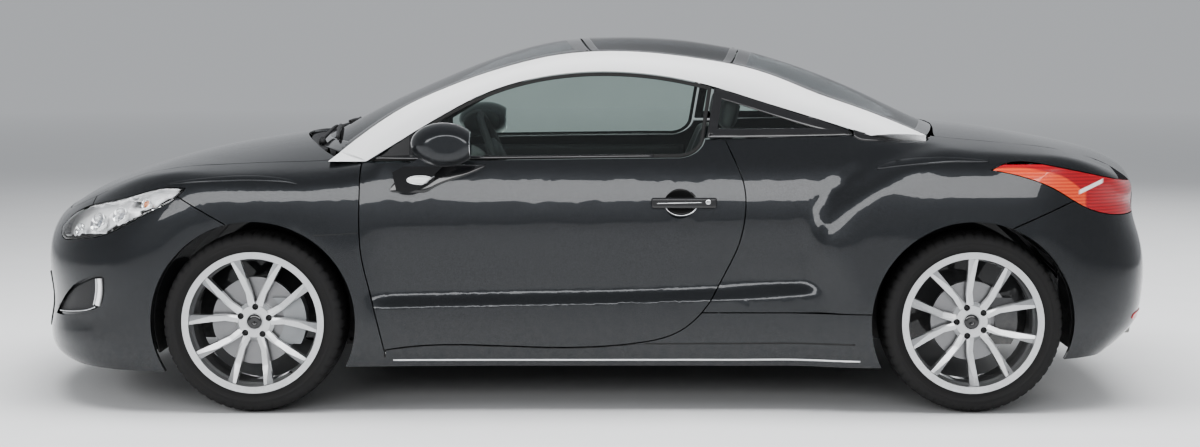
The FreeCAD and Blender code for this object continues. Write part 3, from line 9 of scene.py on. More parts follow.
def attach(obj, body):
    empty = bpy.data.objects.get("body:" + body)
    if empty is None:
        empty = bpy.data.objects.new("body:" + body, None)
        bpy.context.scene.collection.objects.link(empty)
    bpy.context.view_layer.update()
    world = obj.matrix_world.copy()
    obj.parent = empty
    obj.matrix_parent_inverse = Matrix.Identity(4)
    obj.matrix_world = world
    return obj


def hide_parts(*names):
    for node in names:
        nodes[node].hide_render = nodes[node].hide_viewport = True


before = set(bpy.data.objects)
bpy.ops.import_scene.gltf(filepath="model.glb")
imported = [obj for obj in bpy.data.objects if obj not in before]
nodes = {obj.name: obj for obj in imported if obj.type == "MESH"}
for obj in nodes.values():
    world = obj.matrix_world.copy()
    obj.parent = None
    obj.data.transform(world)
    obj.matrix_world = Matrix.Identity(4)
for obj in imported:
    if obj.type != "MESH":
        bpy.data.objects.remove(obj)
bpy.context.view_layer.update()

# Places of the car in metres: front is -X, the driver's side is -Y
FRONT_X, REAR_X = -1.2035, 1.4085
FRONT_Y, REAR_Y = 0.79, 0.7965
HUB_Z = 0.33
TYRE_R, BEAD_R, RIM_R = 0.330, 0.243, 0.258
WHEELS = [("fl", FRONT_X, -FRONT_Y), ("fr", FRONT_X, FRONT_Y),
          ("rl", REAR_X, -REAR_Y), ("rr", REAR_X, REAR_Y)]
SIDES = ((-1, "left"), (1, "right"))


# Node building
def feed(socket, value, tree):
    """Link a socket to another node's output, or set its constant; a colour has three numbers."""
    if isinstance(value, bpy.types.NodeSocket):
        tree.links.new(value, socket)
    else:
        socket.default_value = tuple(value) + (1,) if socket.type == "RGBA" else value


def put(tree, kind, values=None, **settings):
    """A node with its settings, and its sockets fed by numbers, colours or other sockets."""
    node = tree.nodes.new(kind)
    for key, value in settings.items():
        setattr(node, key, value)
    for key, value in (values or {}).items():
        feed(node.inputs[key], value, tree)
    return node


def math_node(tree, way, a, b=0.5):
    return put(tree, "ShaderNodeMath", {0: a, 1: b}, operation=way).outputs[0]


def times(tree, first, *factors):
    for factor in factors:
        first = math_node(tree, "MULTIPLY", first, factor)
    return first


def remap(tree, value, low, high, to_low=0.0, to_high=1.0):
    values = {"Value": value, "From Min": low, "From Max": high, "To Min": to_low, "To Max": to_high}
    return put(tree, "ShaderNodeMapRange", values).outputs["Result"]


def mix(tree, share, a, b):
    return put(tree, "ShaderNodeMix", {0: share, 6: a, 7: b}, data_type="RGBA").outputs[2]


def noise_at(tree, place, scale, detail=2.0, rough=0.5):
    values = {"Vector": place, "Scale": scale, "Detail": detail, "Roughness": rough}
    return put(tree, "ShaderNodeTexNoise", values).outputs["Fac"]


def bump(tree, height, strength, distance):
    values = {"Height": height, "Strength": strength, "Distance": distance}
    return put(tree, "ShaderNodeBump", values).outputs[0]


def object_place(tree):
    return put(tree, "ShaderNodeTexCoord").outputs["Object"]


def split(tree, place):
    """The x, y and z of a place."""
    return put(tree, "ShaderNodeSeparateXYZ", {0: place}).outputs


def new_group(name, inputs, outputs):
    """A shader group with number inputs and their defaults; an output called Normal is a vector."""
    tree = bpy.data.node_groups.new(name, "ShaderNodeTree")
    for label, value in inputs.items():
        tree.interface.new_socket(label, in_out="INPUT", socket_type="NodeSocketFloat").default_value = value
    for label in outputs:
        kind = "NodeSocketVector" if label == "Normal" else "NodeSocketFloat"
        tree.interface.new_socket(label, in_out="OUTPUT", socket_type=kind)
    return tree, tree.nodes.new("NodeGroupInput").outputs, tree.nodes.new("NodeGroupOutput").inputs


def flake_group():
    tree, start, end = new_group("metal_flakes", {"Scale": 2600.0, "Depth": 0.05}, ("Fleck", "Normal"))
    place = object_place(tree)
    cells = put(tree, "ShaderNodeTexVoronoi", {"Vector": place, "Scale": start["Scale"]})
    fleck = put(tree, "ShaderNodeSeparateColor", {0: cells.outputs["Color"]}).outputs[0]
    height = math_node(tree, "ADD", times(tree, fleck, 0.12), noise_at(tree, place, 260.0))
    tree.links.new(fleck, end["Fleck"])
    tree.links.new(bump(tree, height, start["Depth"], 0.0004), end["Normal"])
    return tree


def dust_group():
    tree, start, end = new_group("road_dust", {"Top": 0.45, "Amount": 0.3}, ("Mask",))
    place = object_place(tree)
    low = remap(tree, split(tree, place)[2], start["Top"], 0.0)
    spots = remap(tree, noise_at(tree, place, 38.0, 5.0, 0.7), 0.35, 0.75)
    tree.links.new(times(tree, low, spots, start["Amount"]), end["Mask"])
    return tree


def grain_group():
    tree, start, end = new_group("moulded_grain", {"Scale": 900.0, "Depth": 0.3}, ("Normal", "Patch"))
    place = object_place(tree)
    cells = put(tree, "ShaderNodeTexVoronoi", {"Vector": place, "Scale": start["Scale"]},
                feature="DISTANCE_TO_EDGE")
    height = remap(tree, cells.outputs["Distance"], 0.0, 0.25)
    tree.links.new(bump(tree, height, start["Depth"], 0.0004), end["Normal"])
    tree.links.new(noise_at(tree, place, 14.0, 4.0), end["Patch"])
    return tree


def weave_group():
    tree, start, end = new_group("cloth_weave", {"Pitch": 520.0, "Depth": 0.5}, ("Shade", "Normal"))
    values = {"Vector": object_place(tree), "Scale": start["Pitch"], "Distortion": 0.6}
    waves = [put(tree, "ShaderNodeTexWave", values, bands_direction=way).outputs["Fac"] for way in "XYZ"]
    shade = times(tree, math_node(tree, "ADD", waves[0], waves[1]), waves[2])
    tree.links.new(shade, end["Shade"])
    tree.links.new(bump(tree, shade, start["Depth"], 0.0006), end["Normal"])
    return tree


FLAKES, DUST, GRAIN, WEAVE = flake_group(), dust_group(), grain_group(), weave_group()


def use_group(tree, group, **values):
    node = tree.nodes.new("ShaderNodeGroup")
    node.node_tree = group
    for key, value in values.items():
        node.inputs[key].default_value = value
    return node.outputs


# Materials
def new_material(name, **sockets):
    """A material with one Principled shader, and its constant sockets set."""
    made = bpy.data.materials.new(name)
    made.use_nodes = True
    shader = made.node_tree.nodes["Principled BSDF"]
    for key, value in sockets.items():
        shader.inputs[key.replace("_", " ")].default_value = value
    return made, made.node_tree, shader


def finish(tree, shader, colour=None, rough=None, normal=None):
    for label, source in (("Base Color", colour), ("Roughness", rough), ("Normal", normal)):
        if source is not None:
            tree.links.new(source, shader.inputs[label])


def tone(colour, factor, plus=0.0):
    return [min(1.0, c * factor + plus) for c in colour]


def flaked(tree, colour, bright):
    """A paint's colour with bright flakes, and its normal."""
    flakes = use_group(tree, FLAKES, Scale=2600.0, Depth=0.05)
    return mix(tree, remap(tree, flakes["Fleck"], 0.55, 1.0), colour, bright), flakes["Normal"]


def car_paint(name, colour, bright, metal=0.75, rough=0.34, dust=0.10):
    made, tree, shader = new_material(name, Metallic=metal, Coat_Weight=1.0, Coat_Roughness=0.025)
    base, normal = flaked(tree, colour, bright)
    dirt = use_group(tree, DUST, Top=0.42, Amount=dust)["Mask"]
    dusty = mix(tree, dirt, base, (0.30, 0.28, 0.25))
    finish(tree, shader, dusty, remap(tree, dirt, 0.0, 1.0, rough, 0.8), normal)
    return made


def mirror_paint(colour, bright):
    """Body paint on the mirror's housing, gloss black on its foot."""
    made, tree, shader = new_material("mirror_paint", Coat_Weight=1.0, Coat_Roughness=0.025)
    parts = split(tree, object_place(tree))
    outside = remap(tree, math_node(tree, "ABSOLUTE", parts[1]), 0.902, 0.906)
    head = times(tree, outside, remap(tree, parts[2], 0.900, 0.903))
    paint, normal = flaked(tree, colour, bright)
    tree.links.new(times(tree, head, 0.75), shader.inputs["Metallic"])
    shade = mix(tree, head, (0.006, 0.006, 0.007), paint)
    finish(tree, shader, shade, remap(tree, head, 0.0, 1.0, 0.08, 0.34), normal)
    return made


def grained(name, colour, second, rough, scale, depth, shares=(), **sockets):
    """Patches of a second colour, times any shares, and of roughness between two values, under a grain."""
    made, tree, shader = new_material(name, **sockets)
    grain = use_group(tree, GRAIN, Scale=scale, Depth=depth)
    shade = mix(tree, times(tree, grain["Patch"], *shares), colour, second)
    finish(tree, shader, shade, remap(tree, grain["Patch"], 0.2, 0.8, *rough), grain["Normal"])
    return made


def plain_metal(name, colour, rough, spread=0.12, metal=1.0):
    return grained(name, colour, tone(colour, 0.72), (rough, rough + spread), 1800.0, 0.12, Metallic=metal)


def plastic(name, colour, rough, scale=900.0, depth=0.25, coat=0.0):
    return grained(name, colour, tone(colour, 1.35, 0.002), (rough, min(1.0, rough + 0.1)), scale, depth,
                   Coat_Weight=coat, Coat_Roughness=0.03)


def clear(name, tint, shade):
    """Glass that lets its tint through to what lies behind it, also for shadow rays."""
    made, tree, shader = new_material(name, Transmission_Weight=1.0, IOR=1.45, Coat_Weight=0.0)
    smear = noise_at(tree, object_place(tree), 7.0, 3.0)
    finish(tree, shader, mix(tree, smear, tint, tone(tint, 0.94)), remap(tree, smear, 0.3, 0.8, 0.0, 0.015))
    through = put(tree, "ShaderNodeBsdfTransparent", {"Color": tone(tint, shade)})
    path = put(tree, "ShaderNodeLightPath")
    both = put(tree, "ShaderNodeMixShader",
               {0: path.outputs["Is Shadow Ray"], 1: shader.outputs[0], 2: through.outputs[0]})
    tree.links.new(both.outputs[0], tree.nodes["Material Output"].inputs["Surface"])
    return made


def pile(name, colour, second):
    made, tree, shader = new_material(name, Roughness=0.85, Sheen_Weight=0.35, Sheen_Roughness=0.4)
    weave = use_group(tree, WEAVE, Pitch=180.0, Depth=0.9)
    patch = use_group(tree, GRAIN, Scale=40.0, Depth=0.0)["Patch"]
    finish(tree, shader, mix(tree, times(tree, weave["Shade"], patch), colour, second), None, weave["Normal"])
    return made


def machined(name, x):
    """Disc iron with turned rings about the axle at x."""
    made, tree, shader = new_material(name, Metallic=1.0)
    parts = split(tree, object_place(tree))
    across = math_node(tree, "SUBTRACT", parts[0], x)
    up = math_node(tree, "SUBTRACT", parts[2], HUB_Z)
    radius = math_node(tree, "SQRT", math_node(tree, "ADD", times(tree, across, across), times(tree, up, up)))
    lines = noise_at(tree, put(tree, "ShaderNodeCombineXYZ", {0: radius}).outputs[0], 1400.0, 3.0, 0.7)
    finish(tree, shader, mix(tree, lines, (0.20, 0.20, 0.205), (0.33, 0.33, 0.335)),
           remap(tree, lines, 0.2, 0.8, 0.25, 0.5), bump(tree, lines, 0.25, 0.0002))
    return made


def tail_lens():
    """Red lens over an orange lower band, with a white streak and ribs inside."""
    made, tree, shader = new_material("tail_lens", Coat_Weight=1.0, Coat_Roughness=0.02, Roughness=0.28,
                                      Specular_IOR_Level=0.6)
    place = object_place(tree)
    x, _, z = split(tree, place)
    edge = put(tree, "ShaderNodeFloatCurve", {"Value": remap(tree, x, 1.475, 1.80)})
    line = edge.mapping.curves[0]
    line.points[0].location = (0.0, 0.890)
    line.points[-1].location = (1.0, 0.812)
    for spot, value in ((0.32, 0.893), (0.53, 0.883), (0.766, 0.863), (0.91, 0.836)):
        line.points.new(spot, value)
    edge.mapping.update()
    upper = remap(tree, math_node(tree, "SUBTRACT", z, edge.outputs[0]), -0.003, 0.004)
    rear = remap(tree, x, 1.812, 1.822)
    ribs = put(tree, "ShaderNodeTexWave", {"Vector": place, "Scale": 26.0, "Distortion": 0.2},
               bands_direction="Z").outputs["Fac"]
    orange = mix(tree, ribs, (0.60, 0.050, 0.016), (0.80, 0.115, 0.035))
    red = mix(tree, ribs, (0.28, 0.003, 0.006), (0.44, 0.006, 0.011))
    colour = mix(tree, rear, mix(tree, upper, orange, red), red)
    slope = math_node(tree, "SUBTRACT", z, times(tree, math_node(tree, "SUBTRACT", x, 1.84), 0.42))
    streak = times(tree, *(remap(tree, value, low, high) for value, low, high in (
        (slope, 0.8155, 0.8185), (slope, 0.834, 0.831), (x, 1.787, 1.797), (x, 1.889, 1.879))))
    finish(tree, shader, mix(tree, streak, colour, (0.85, 0.83, 0.82)), None, bump(tree, ribs, 0.12, 0.002))
    return made


BODY_PAINT = (0.007, 0.0082, 0.0098), (0.066, 0.072, 0.081)
SLATE = car_paint("slate_paint", *BODY_PAINT)
MIRROR_PAINT = mirror_paint(*BODY_PAINT)
SILVER = car_paint("arch_silver", (0.86, 0.865, 0.87), (0.96, 0.96, 0.96), 0.45, 0.40, 0.0)
ALLOY = car_paint("wheel_silver", (0.60, 0.61, 0.62), (0.80, 0.80, 0.80), 0.85, 0.33, 0.35)
STEEL = plain_metal("bare_steel", (0.50, 0.49, 0.47), 0.35)
CAST = plain_metal("cast_metal", (0.36, 0.37, 0.38), 0.5)
CHROME = plain_metal("chrome", (0.86, 0.87, 0.88), 0.05, 0.04)
REFLECTOR = plain_metal("lamp_reflector", (0.94, 0.95, 0.96), 0.32, 0.14, 0.55)
UNDER = car_paint("underbody_paint", (0.03, 0.031, 0.033), (0.06, 0.06, 0.065), 0.2, 0.55, 0.6)
GLOSS = plastic("gloss_black", (0.008, 0.008, 0.009), 0.08, 300.0, 0.02, 1.0)
TRIM = plastic("black_trim", (0.018, 0.018, 0.019), 0.42)
LINER = plastic("liner_felt", (0.012, 0.012, 0.012), 0.85, 600.0, 0.6)
CABIN = plastic("cabin_plastic", (0.030, 0.030, 0.032), 0.55, 700.0, 0.5)
SEAL = plastic("seal_rubber", (0.010, 0.010, 0.010), 0.5, 500.0, 0.1)
TYRE = grained("tyre_rubber", (0.012, 0.012, 0.013), (0.075, 0.07, 0.062), (0.62, 0.82), 700.0, 0.2,
               shares=(0.2,), Specular_IOR_Level=0.35)
GLASS = clear("window_glass", (0.80, 0.88, 0.85), 0.9)
DARK_GLASS = clear("dark_glass", (0.16, 0.18, 0.19), 0.5)
ROOF_GLASS = clear("roof_glass", (0.020, 0.022, 0.025), 0.10)
LENS = clear("lamp_lens", (1.0, 1.0, 1.0), 0.98)
RED_LENS = tail_lens()
RED_GLASS = plastic("red_reflector", (0.42, 0.008, 0.012), 0.12, 500.0, 0.3, 1.0)
AMBER = plastic("amber_bulb", (0.75, 0.20, 0.02), 0.15, 500.0, 0.1, 1.0)
LENS_WHITE = plastic("white_lens", (0.78, 0.79, 0.80), 0.12, 700.0, 0.2, 1.0)
BALL_GLASS = plastic("projector_glass", (0.10, 0.11, 0.125), 0.02, 300.0, 0.0, 1.0)
MIRROR_GLASS = plain_metal("mirror_silver", (0.80, 0.82, 0.84), 0.02, 0.02)
# Near-black for the handle's recess: painted shade where the hollow behind the handle lies in shadow
HANDLE_RECESS_SHADE = plastic("handle_recess_shade", (0.004, 0.004, 0.004), 0.35, 300.0, 0.05)
LEATHER_DARK = (0.028, 0.028, 0.030)
SEAT_LEATHER = grained("seat_leather", LEATHER_DARK, tone(LEATHER_DARK, 1.7), (0.38, 0.55), 420.0, 0.5,
                       Sheen_Weight=0.08)
CARPET = pile("floor_carpet", (0.02, 0.02, 0.021), (0.05, 0.05, 0.052))
FRONT_IRON, REAR_IRON = machined("front_disc_iron", FRONT_X), machined("rear_disc_iron", REAR_X)

# The slot for a piece of each material, looked up by piece but not kept
SLOTS = {SLATE: "paint", SILVER: "satin_silver", CHROME: "wheel_alloy", MIRROR_GLASS: "wheel_alloy",
         GLOSS: "gloss_black", HANDLE_RECESS_SHADE: "gloss_black", TRIM: "dark_plastic", LINER: "dark_plastic",
         SEAL: "dark_plastic", CABIN: "cabin_plastic", SEAT_LEATHER: "cabin_plastic", CARPET: "seat_cloth",
         LENS_WHITE: "lamp_glass", BALL_GLASS: "lamp_glass", AMBER: "lamp_glass", RED_GLASS: "red_lens",
         TYRE: "tyre"}

for names, material in (
        ("bonnet boot_lid door_left door_right front_bumper front_fenders", SLATE),
        ("quarter_panels rear_bumper side_skirts", SLATE), ("mirror_left mirror_right", MIRROR_PAINT),
        ("roof_arches", SILVER), ("rim_fl rim_fr rim_rl rim_rr", ALLOY),
        ("brake_disc_fl brake_disc_fr", FRONT_IRON), ("brake_disc_rl brake_disc_rr", REAR_IRON),
        ("body_shell front_subframe rear_axle", UNDER), ("knuckle_left knuckle_right engine_block", CAST),
        ("exhaust", STEEL), ("cowl grille", TRIM), ("handle_left handle_right", GLOSS),
        ("dashboard steering_wheel", CABIN), ("door_glass_left door_glass_right quarter_glass", GLASS),
        ("rear_glass windscreen", DARK_GLASS), ("roof_panel", ROOF_GLASS), ("headlamps", LENS),
        ("tail_lamps", RED_LENS)):
    for name in names.split():
        nodes[name].data.materials.clear()
        nodes[name].data.materials.append(material)

# The doors' long flat facets get their shading from the larger faces, so that the ledge reflects evenly
for name in ("door_left", "door_right"):
    even = nodes[name].modifiers.new("even_shading", "WEIGHTED_NORMAL")
    even.mode = "FACE_AREA_WITH_ANGLE"
    even.keep_sharp = True


# Mesh building
def data_of(mesh, name):
    """A bmesh as mesh data, the bmesh freed."""
    data = bpy.data.meshes.new(name)
    mesh.to_mesh(data)
    mesh.free()
    return data


def piece(name, mesh, material, body="base", slot=None, smooth=True):
    """A bmesh as a named piece that rides on a body; a slot is looked up from its material when none is
    given, but it is not kept.
    """
    bmesh.ops.remove_doubles(mesh, verts=mesh.verts, dist=1e-6)
    data = data_of(mesh, name)
    data.materials.append(material)
    for face in data.polygons:
        face.use_smooth = smooth
    made = bpy.data.objects.new(name, data)
    bpy.context.scene.collection.objects.link(made)
    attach(made, body)
    slot = SLOTS.get(material) if slot is None else slot
    return made


def outward(mesh):
    bmesh.ops.recalc_face_normals(mesh, faces=mesh.faces)
    return mesh


def surface(grid, close_rows=False, close_columns=False, into=None):
    """Quads over a grid of points."""
    mesh = into or bmesh.new()
    points = [[mesh.verts.new(p) for p in row] for row in grid]
    for i in range(len(points) if close_rows else len(points) - 1):
        row, following = points[i], points[(i + 1) % len(points)]
        for j in range(len(row) if close_columns else len(row) - 1):
            k = (j + 1) % len(row)
            mesh.faces.new((row[j], row[k], following[k], following[j]))
    return mesh


def solid_strip(grid, thickness, normals):
    """A closed strip: the grid and its copy set back along the normals."""
    mesh = bmesh.new()
    front = [[mesh.verts.new(p) for p in row] for row in grid]
    back = [[mesh.verts.new(Vector(p) - Vector(n) * thickness) for p, n in zip(*rows)]
            for rows in zip(grid, normals)]
    rows, columns = len(front), len(front[0])
    for i in range(rows - 1):
        for j in range(columns - 1):
            mesh.faces.new((front[i][j], front[i][j + 1], front[i + 1][j + 1], front[i + 1][j]))
            mesh.faces.new((back[i][j], back[i + 1][j], back[i + 1][j + 1], back[i][j + 1]))
    for i in range(rows - 1):
        mesh.faces.new((front[i][0], front[i + 1][0], back[i + 1][0], back[i][0]))
        mesh.faces.new((front[i][-1], back[i][-1], back[i + 1][-1], front[i + 1][-1]))
    for j in range(columns - 1):
        mesh.faces.new((front[0][j], back[0][j], back[0][j + 1], front[0][j + 1]))
        mesh.faces.new((front[-1][j], front[-1][j + 1], back[-1][j + 1], back[-1][j]))
    return outward(mesh)


def turned(profile, centre, axis, steps=48):
    """Profile of (along, radius) points turned about an axis through centre."""
    turn = Vector((0, 0, 1)).rotation_difference(Vector(axis)).to_matrix()
    grid = [[Vector(centre) + turn @ Vector((r * math.cos(a), r * math.sin(a), d)) for d, r in profile]
            for a in (2 * math.pi * k / steps for k in range(steps))]
    return outward(surface(grid, close_rows=True))


def swept_tube(path, radius, sides=12):
    """A round bar along a path of points, closed at its ends."""
    points = [Vector(p) for p in path]
    grid = []
    for i, point in enumerate(points):
        way = (points[min(i + 1, len(points) - 1)] - points[max(i - 1, 0)]).normalized()
        flank = way.cross(Vector((0, 0, 1)))
        flank = flank.normalized() if flank.length > 1e-3 else Vector((1, 0, 0))
        up = flank.cross(way).normalized()
        size = radius(i / (len(points) - 1)) if callable(radius) else radius
        grid.append([point + flank * math.cos(a) * size + up * math.sin(a) * size
                     for a in (2 * math.pi * k / sides for k in range(sides))])
    return capped(surface(grid, close_columns=True), sides)


def capped(mesh, around):
    """Close both ends of a tube whose rings have so many points."""
    mesh.verts.ensure_lookup_table()
    mesh.faces.new(mesh.verts[:around])
    mesh.faces.new(mesh.verts[-around:])
    return outward(mesh)


def slab(name, low, high, material, edge, segments=2, lean=0.0):
    """A box between two corners with bevelled edges; lean moves its top corners along X."""
    mesh = bmesh.new()
    spots = [mesh.verts.new((x + (lean if z == high[2] else 0.0), y, z)) for z in (low[2], high[2])
             for x, y in ((low[0], low[1]), (high[0], low[1]), (high[0], high[1]), (low[0], high[1]))]
    for face in ((0, 3, 2, 1), (4, 5, 6, 7), (0, 1, 5, 4), (1, 2, 6, 5), (2, 3, 7, 6), (3, 0, 4, 7)):
        mesh.faces.new([spots[k] for k in face])
    change = piece(name, mesh, material, smooth=False).modifiers.new("edges", "BEVEL")
    change.width, change.segments, change.angle_limit = edge, segments, 0.6
    change.limit_method = "ANGLE"
    change.harden_normals = False


def smooth_path(points, steps):
    """Catmull-Rom points through a short list, each a tuple of numbers."""
    ends = [points[0]] + list(points) + [points[-1]]
    result = []
    for i in range(1, len(ends) - 2):
        for t in (k / steps for k in range(steps)):
            result.append(tuple(0.5 * (2 * b + (c - a) * t + (2 * a - 5 * b + 4 * c - d) * t * t
                                       + (3 * b - a - 3 * c + d) * t ** 3)
                                for a, b, c, d in zip(*ends[i - 1:i + 3])))
    result.append(tuple(points[-1]))
    return result


# Tyres: road tread with four grooves and cross cuts, rings on the side walls
def tyre_mesh(x, y, side, steps=432):
    seat, tread_half = 0.102, 0.0925
    wall = [(0.1125, 0.276), (0.1165, 0.283), (0.1172, 0.287), (0.1150, 0.290), (0.1146, 0.297),
            (0.1130, 0.305), (0.1095, 0.312), (0.1055, 0.3175), (0.0985, 0.3222)]
    flank = [(seat, BEAD_R + 0.0003), (seat + 0.001, RIM_R + 0.002), (seat + 0.004, RIM_R + 0.012)] + wall
    tread = [(-tread_half + 2 * tread_half * k / 36, TYRE_R - 0.0050 * abs(k / 18 - 1) ** 3.2)
             for k in range(37)]
    outline = [(-d, r) for d, r in flank] + tread + flank[::-1]
    inside = [(0.086, BEAD_R + 0.0003), (0.088, 0.270), (0.078, 0.306)]
    inside += [(-d, r) for d, r in inside[::-1]]
    grid = []
    for k in range(steps):
        turn = 2 * math.pi * k / steps
        row = []
        for j, (d, r) in enumerate(outline):
            if len(flank) <= j < len(flank) + len(tread):
                if min(abs(abs(d) - groove) for groove in (0.018, 0.052)) < 0.0045:
                    r -= 0.0065
                elif abs(d) > 0.058 and k % 8 in (0, 1) or 0.022 < abs(d) < 0.048 and (k + 4) % 8 == 0:
                    r -= 0.0045
            elif abs(d) > 0.098 and r > 0.309 and k % 8 in (0, 1):
                d -= math.copysign(0.0022, d)
                r -= 0.001
            row.append((d, r))
        grid.append([(x + r * math.sin(turn), y + side * d, HUB_Z + r * math.cos(turn))
                     for d, r in row + inside])
    return outward(surface(grid, close_rows=True, close_columns=True))


def wheel_fittings(corner, x, y, side):
    """Cap, bolts in their wells, and the valve."""
    body = "wheel_" + corner
    face = y + side * 0.038
    cap = [(0.0321, 0.0), (0.0361, 0.0001), (0.0360, 0.016), (0.0345, 0.0245), (0.0322, 0.0270),
           (0.0321, 0.020)]
    ring = [(0.0325, 0.0273), (0.0352, 0.0280), (0.0350, 0.0298), (0.0325, 0.0305)]
    for name, profile, material in (("cap_", cap, GLOSS), ("cap_ring_", ring, ALLOY)):
        mesh = turned(profile + profile[:1], (x, face, HUB_Z), (0, side, 0), 64)
        piece(name + corner, mesh, material, body)
    bolt = ((0.0142, 0.0112, 1), (0.0160, 0.0112, 1), (0.0162, 0.0088, 0), (0.0255, 0.0088, 0),
            (0.0275, 0.0074, 0), (0.0275, 0.0040, 1), (0.0240, 0.0036, 1), (0.0240, 0.0001, 1))
    bolts = bmesh.new()
    for k in range(5):
        turn = math.radians((3.6 if corner[0] == "f" else -19.0) + 72 * k)
        bolt_x, bolt_z = x + 0.054 * math.sin(turn), HUB_Z + 0.054 * math.cos(turn)
        grid = []
        for d, r, is_round in bolt:
            row = []
            for a in (2 * math.pi * i / 24 for i in range(24)):
                hexed = math.cos(math.pi / 6) / math.cos((a % (math.pi / 3)) - math.pi / 6)
                size = r if is_round else r * hexed
                row.append((bolt_x + size * math.sin(a), face + side * d, bolt_z + size * math.cos(a)))
            grid.append(row)
        surface(grid, close_columns=True, into=bolts)
    piece("bolts_" + corner, outward(bolts), TRIM, body)
    turn = math.radians(144)
    stem = [(x + math.sin(turn) * r, y + side * d, HUB_Z + math.cos(turn) * r)
            for d, r in ((0.070, 0.2325), (0.078, 0.2290), (0.090, 0.2245), (0.096, 0.2223))]
    piece("valve_" + corner, swept_tube(stem, lambda t: 0.0042 - 0.0012 * (t > 0.5)), SEAL, body, slot="")


for corner, x, y in WHEELS:
    side = 1 if y > 0 else -1
    made = piece("road_tyre_" + corner, tyre_mesh(x, y, side), TYRE, "wheel_" + corner)
    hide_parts("tyre_" + corner)
    wheel_fittings(corner, x, y, side)


# Skins read back from the CAD pieces, for lenses, seals and borders
def cad_mesh(*names):
    """CAD nodes as one bmesh in the car's frame."""
    whole = bmesh.new()
    for name in names:
        data = nodes[name].data.copy()
        data.transform(nodes[name].matrix_world)
        whole.from_mesh(data)
        bpy.data.meshes.remove(data)
    return whole


def facing(name, side, way, share, away=False):
    """The faces of a CAD node that look along way(place), or with away the others; side 0 is both sides."""
    mesh = cad_mesh(name)
    bmesh.ops.remove_doubles(mesh, verts=mesh.verts, dist=2e-5)
    others = []
    for face in mesh.faces:
        centre = face.calc_center_median()
        if centre.y * side < 0 or (face.normal.dot(way(centre)) < share) != away:
            others.append(face)
    bmesh.ops.delete(mesh, geom=others, context="FACES")
    return mesh


def longest_border(mesh):
    """The longest chain of points along the open edges of a mesh."""
    follow = {}
    for edge in mesh.edges:
        if len(edge.link_faces) == 1:
            for loop in edge.link_faces[0].loops:
                if loop.edge == edge:
                    follow[loop.vert] = loop.link_loop_next.vert
    chains = []
    while follow:
        chain = [next(iter(follow))]
        here = follow.pop(chain[0])
        while here != chain[0] and here in follow:
            chain.append(here)
            here = follow.pop(here)
        chains.append(chain)
    return [vert.co.copy() for vert in max(chains, key=len)]


def even_path(points, spacing):
    """Evenly spaced points along a closed loop."""
    pairs = list(zip(points, points[1:] + points[:1]))
    lengths = [(b - a).length for a, b in pairs]
    total = sum(lengths)
    count = max(8, int(total / spacing))
    result, here, gone = [], 0, 0.0
    for want in (total * k / count for k in range(count)):
        while here < len(pairs) - 1 and gone + lengths[here] < want:
            gone += lengths[here]
            here += 1
        share = (want - gone) / max(lengths[here], 1e-9)
        result.append(pairs[here][0].lerp(pairs[here][1], min(1.0, max(0.0, share))))
    return result


def edge_band(name, source, width, lift, material, body="base"):
    """A closed ring along the border of a skin, width inwards, standing proud by lift."""
    tree = BVHTree.FromBMesh(source)
    loop = even_path(longest_border(source), 0.012)
    source.free()
    middle = sum(loop, Vector()) / len(loop)
    grid, normals = [], []
    for i, point in enumerate(loop):
        way = (loop[(i + 1) % len(loop)] - loop[i - 1]).normalized()
        inward = tree.find_nearest(point)[1].cross(way).normalized()
        if inward.dot((middle - point).normalized()) < -0.35:
            inward = -inward
        row, normal_row = [], []
        for t, up in ((0.0, 0.2), (0.12, 1.0), (0.55, 1.0), (0.9, 0.85), (1.0, 0.0)):
            near, normal, _, _ = tree.find_nearest(point + inward * width * t)
            row.append(near + normal * lift * up)
            normal_row.append(normal)
        grid.append(row)
        normals.append(normal_row)
    piece(name, solid_strip(grid + grid[:1], 0.002, normals + normals[:1]), material, body, slot="")


for side, word in SIDES:
    aside = Vector((0, side, 0.3))
    glass = facing("door_glass_" + word, 0, lambda p: aside, 0.6)
    edge_band("door_seal_" + word, glass, 0.014, 0.0022, SEAL, "door_" + word)
    glass = facing("quarter_glass", side, lambda p: aside, 0.6)
    edge_band("quarter_border_" + word, glass, 0.034, 0.0012, GLOSS)
for name, width in (("windscreen", 0.055), ("roof_panel", 0.03), ("rear_glass", 0.05)):
    edge_band(name + "_border", facing(name, 0, lambda p: Vector((0, 0, 1)), 0.3), width, 0.0006, GLOSS)


# Head lamps: the outer faces of the CAD lamps become clear lenses, the inner ones a bright bowl
def from_lamp_middle(place):
    return (place - Vector((-1.40, 0.0, 0.60))).normalized()


for side, word in SIDES:
    lens = piece("lamp_lens_" + word, facing("headlamps", side, from_lamp_middle, 0.35), LENS)
    wall = lens.modifiers.new("wall", "SOLIDIFY")
    wall.thickness = 0.003
    wall.offset = -1
    bowl = facing("headlamps", side, from_lamp_middle, 0.35, away=True)
    bmesh.ops.reverse_faces(bowl, faces=bowl.faces)
    piece("lamp_bowl_" + word, bowl, REFLECTOR)
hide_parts("headlamps")


# Shapes that lie on the CAD skins, found by rays from one side of the car
def skin_of(*names):
    mesh = cad_mesh(*names)
    tree = BVHTree.FromBMesh(mesh)
    mesh.free()
    return tree


RAYS = {"left": lambda a, b: ((a, -2.0, b), (0, 1, 0)), "right": lambda a, b: ((a, 2.0, b), (0, -1, 0)),
        "front": lambda a, b: ((-4.0, a, b), (1, 0, 0)), "rear": lambda a, b: ((4.0, a, b), (-1, 0, 0)),
        "top": lambda a, b: ((a, b, 3.0), (0, 0, -1))}


def shot(tree, view, a, b):
    """Where the skin is met at (a, b) as seen from a side, and its normal towards the eye."""
    start, way = (Vector(values) for values in RAYS[view](a, b))
    spot, normal, _, _ = tree.ray_cast(start, way)
    if spot is None:
        spot, normal, _, _ = tree.find_nearest(start + way * 3.0)
    return spot, -normal if normal.dot(way) > 0 else normal


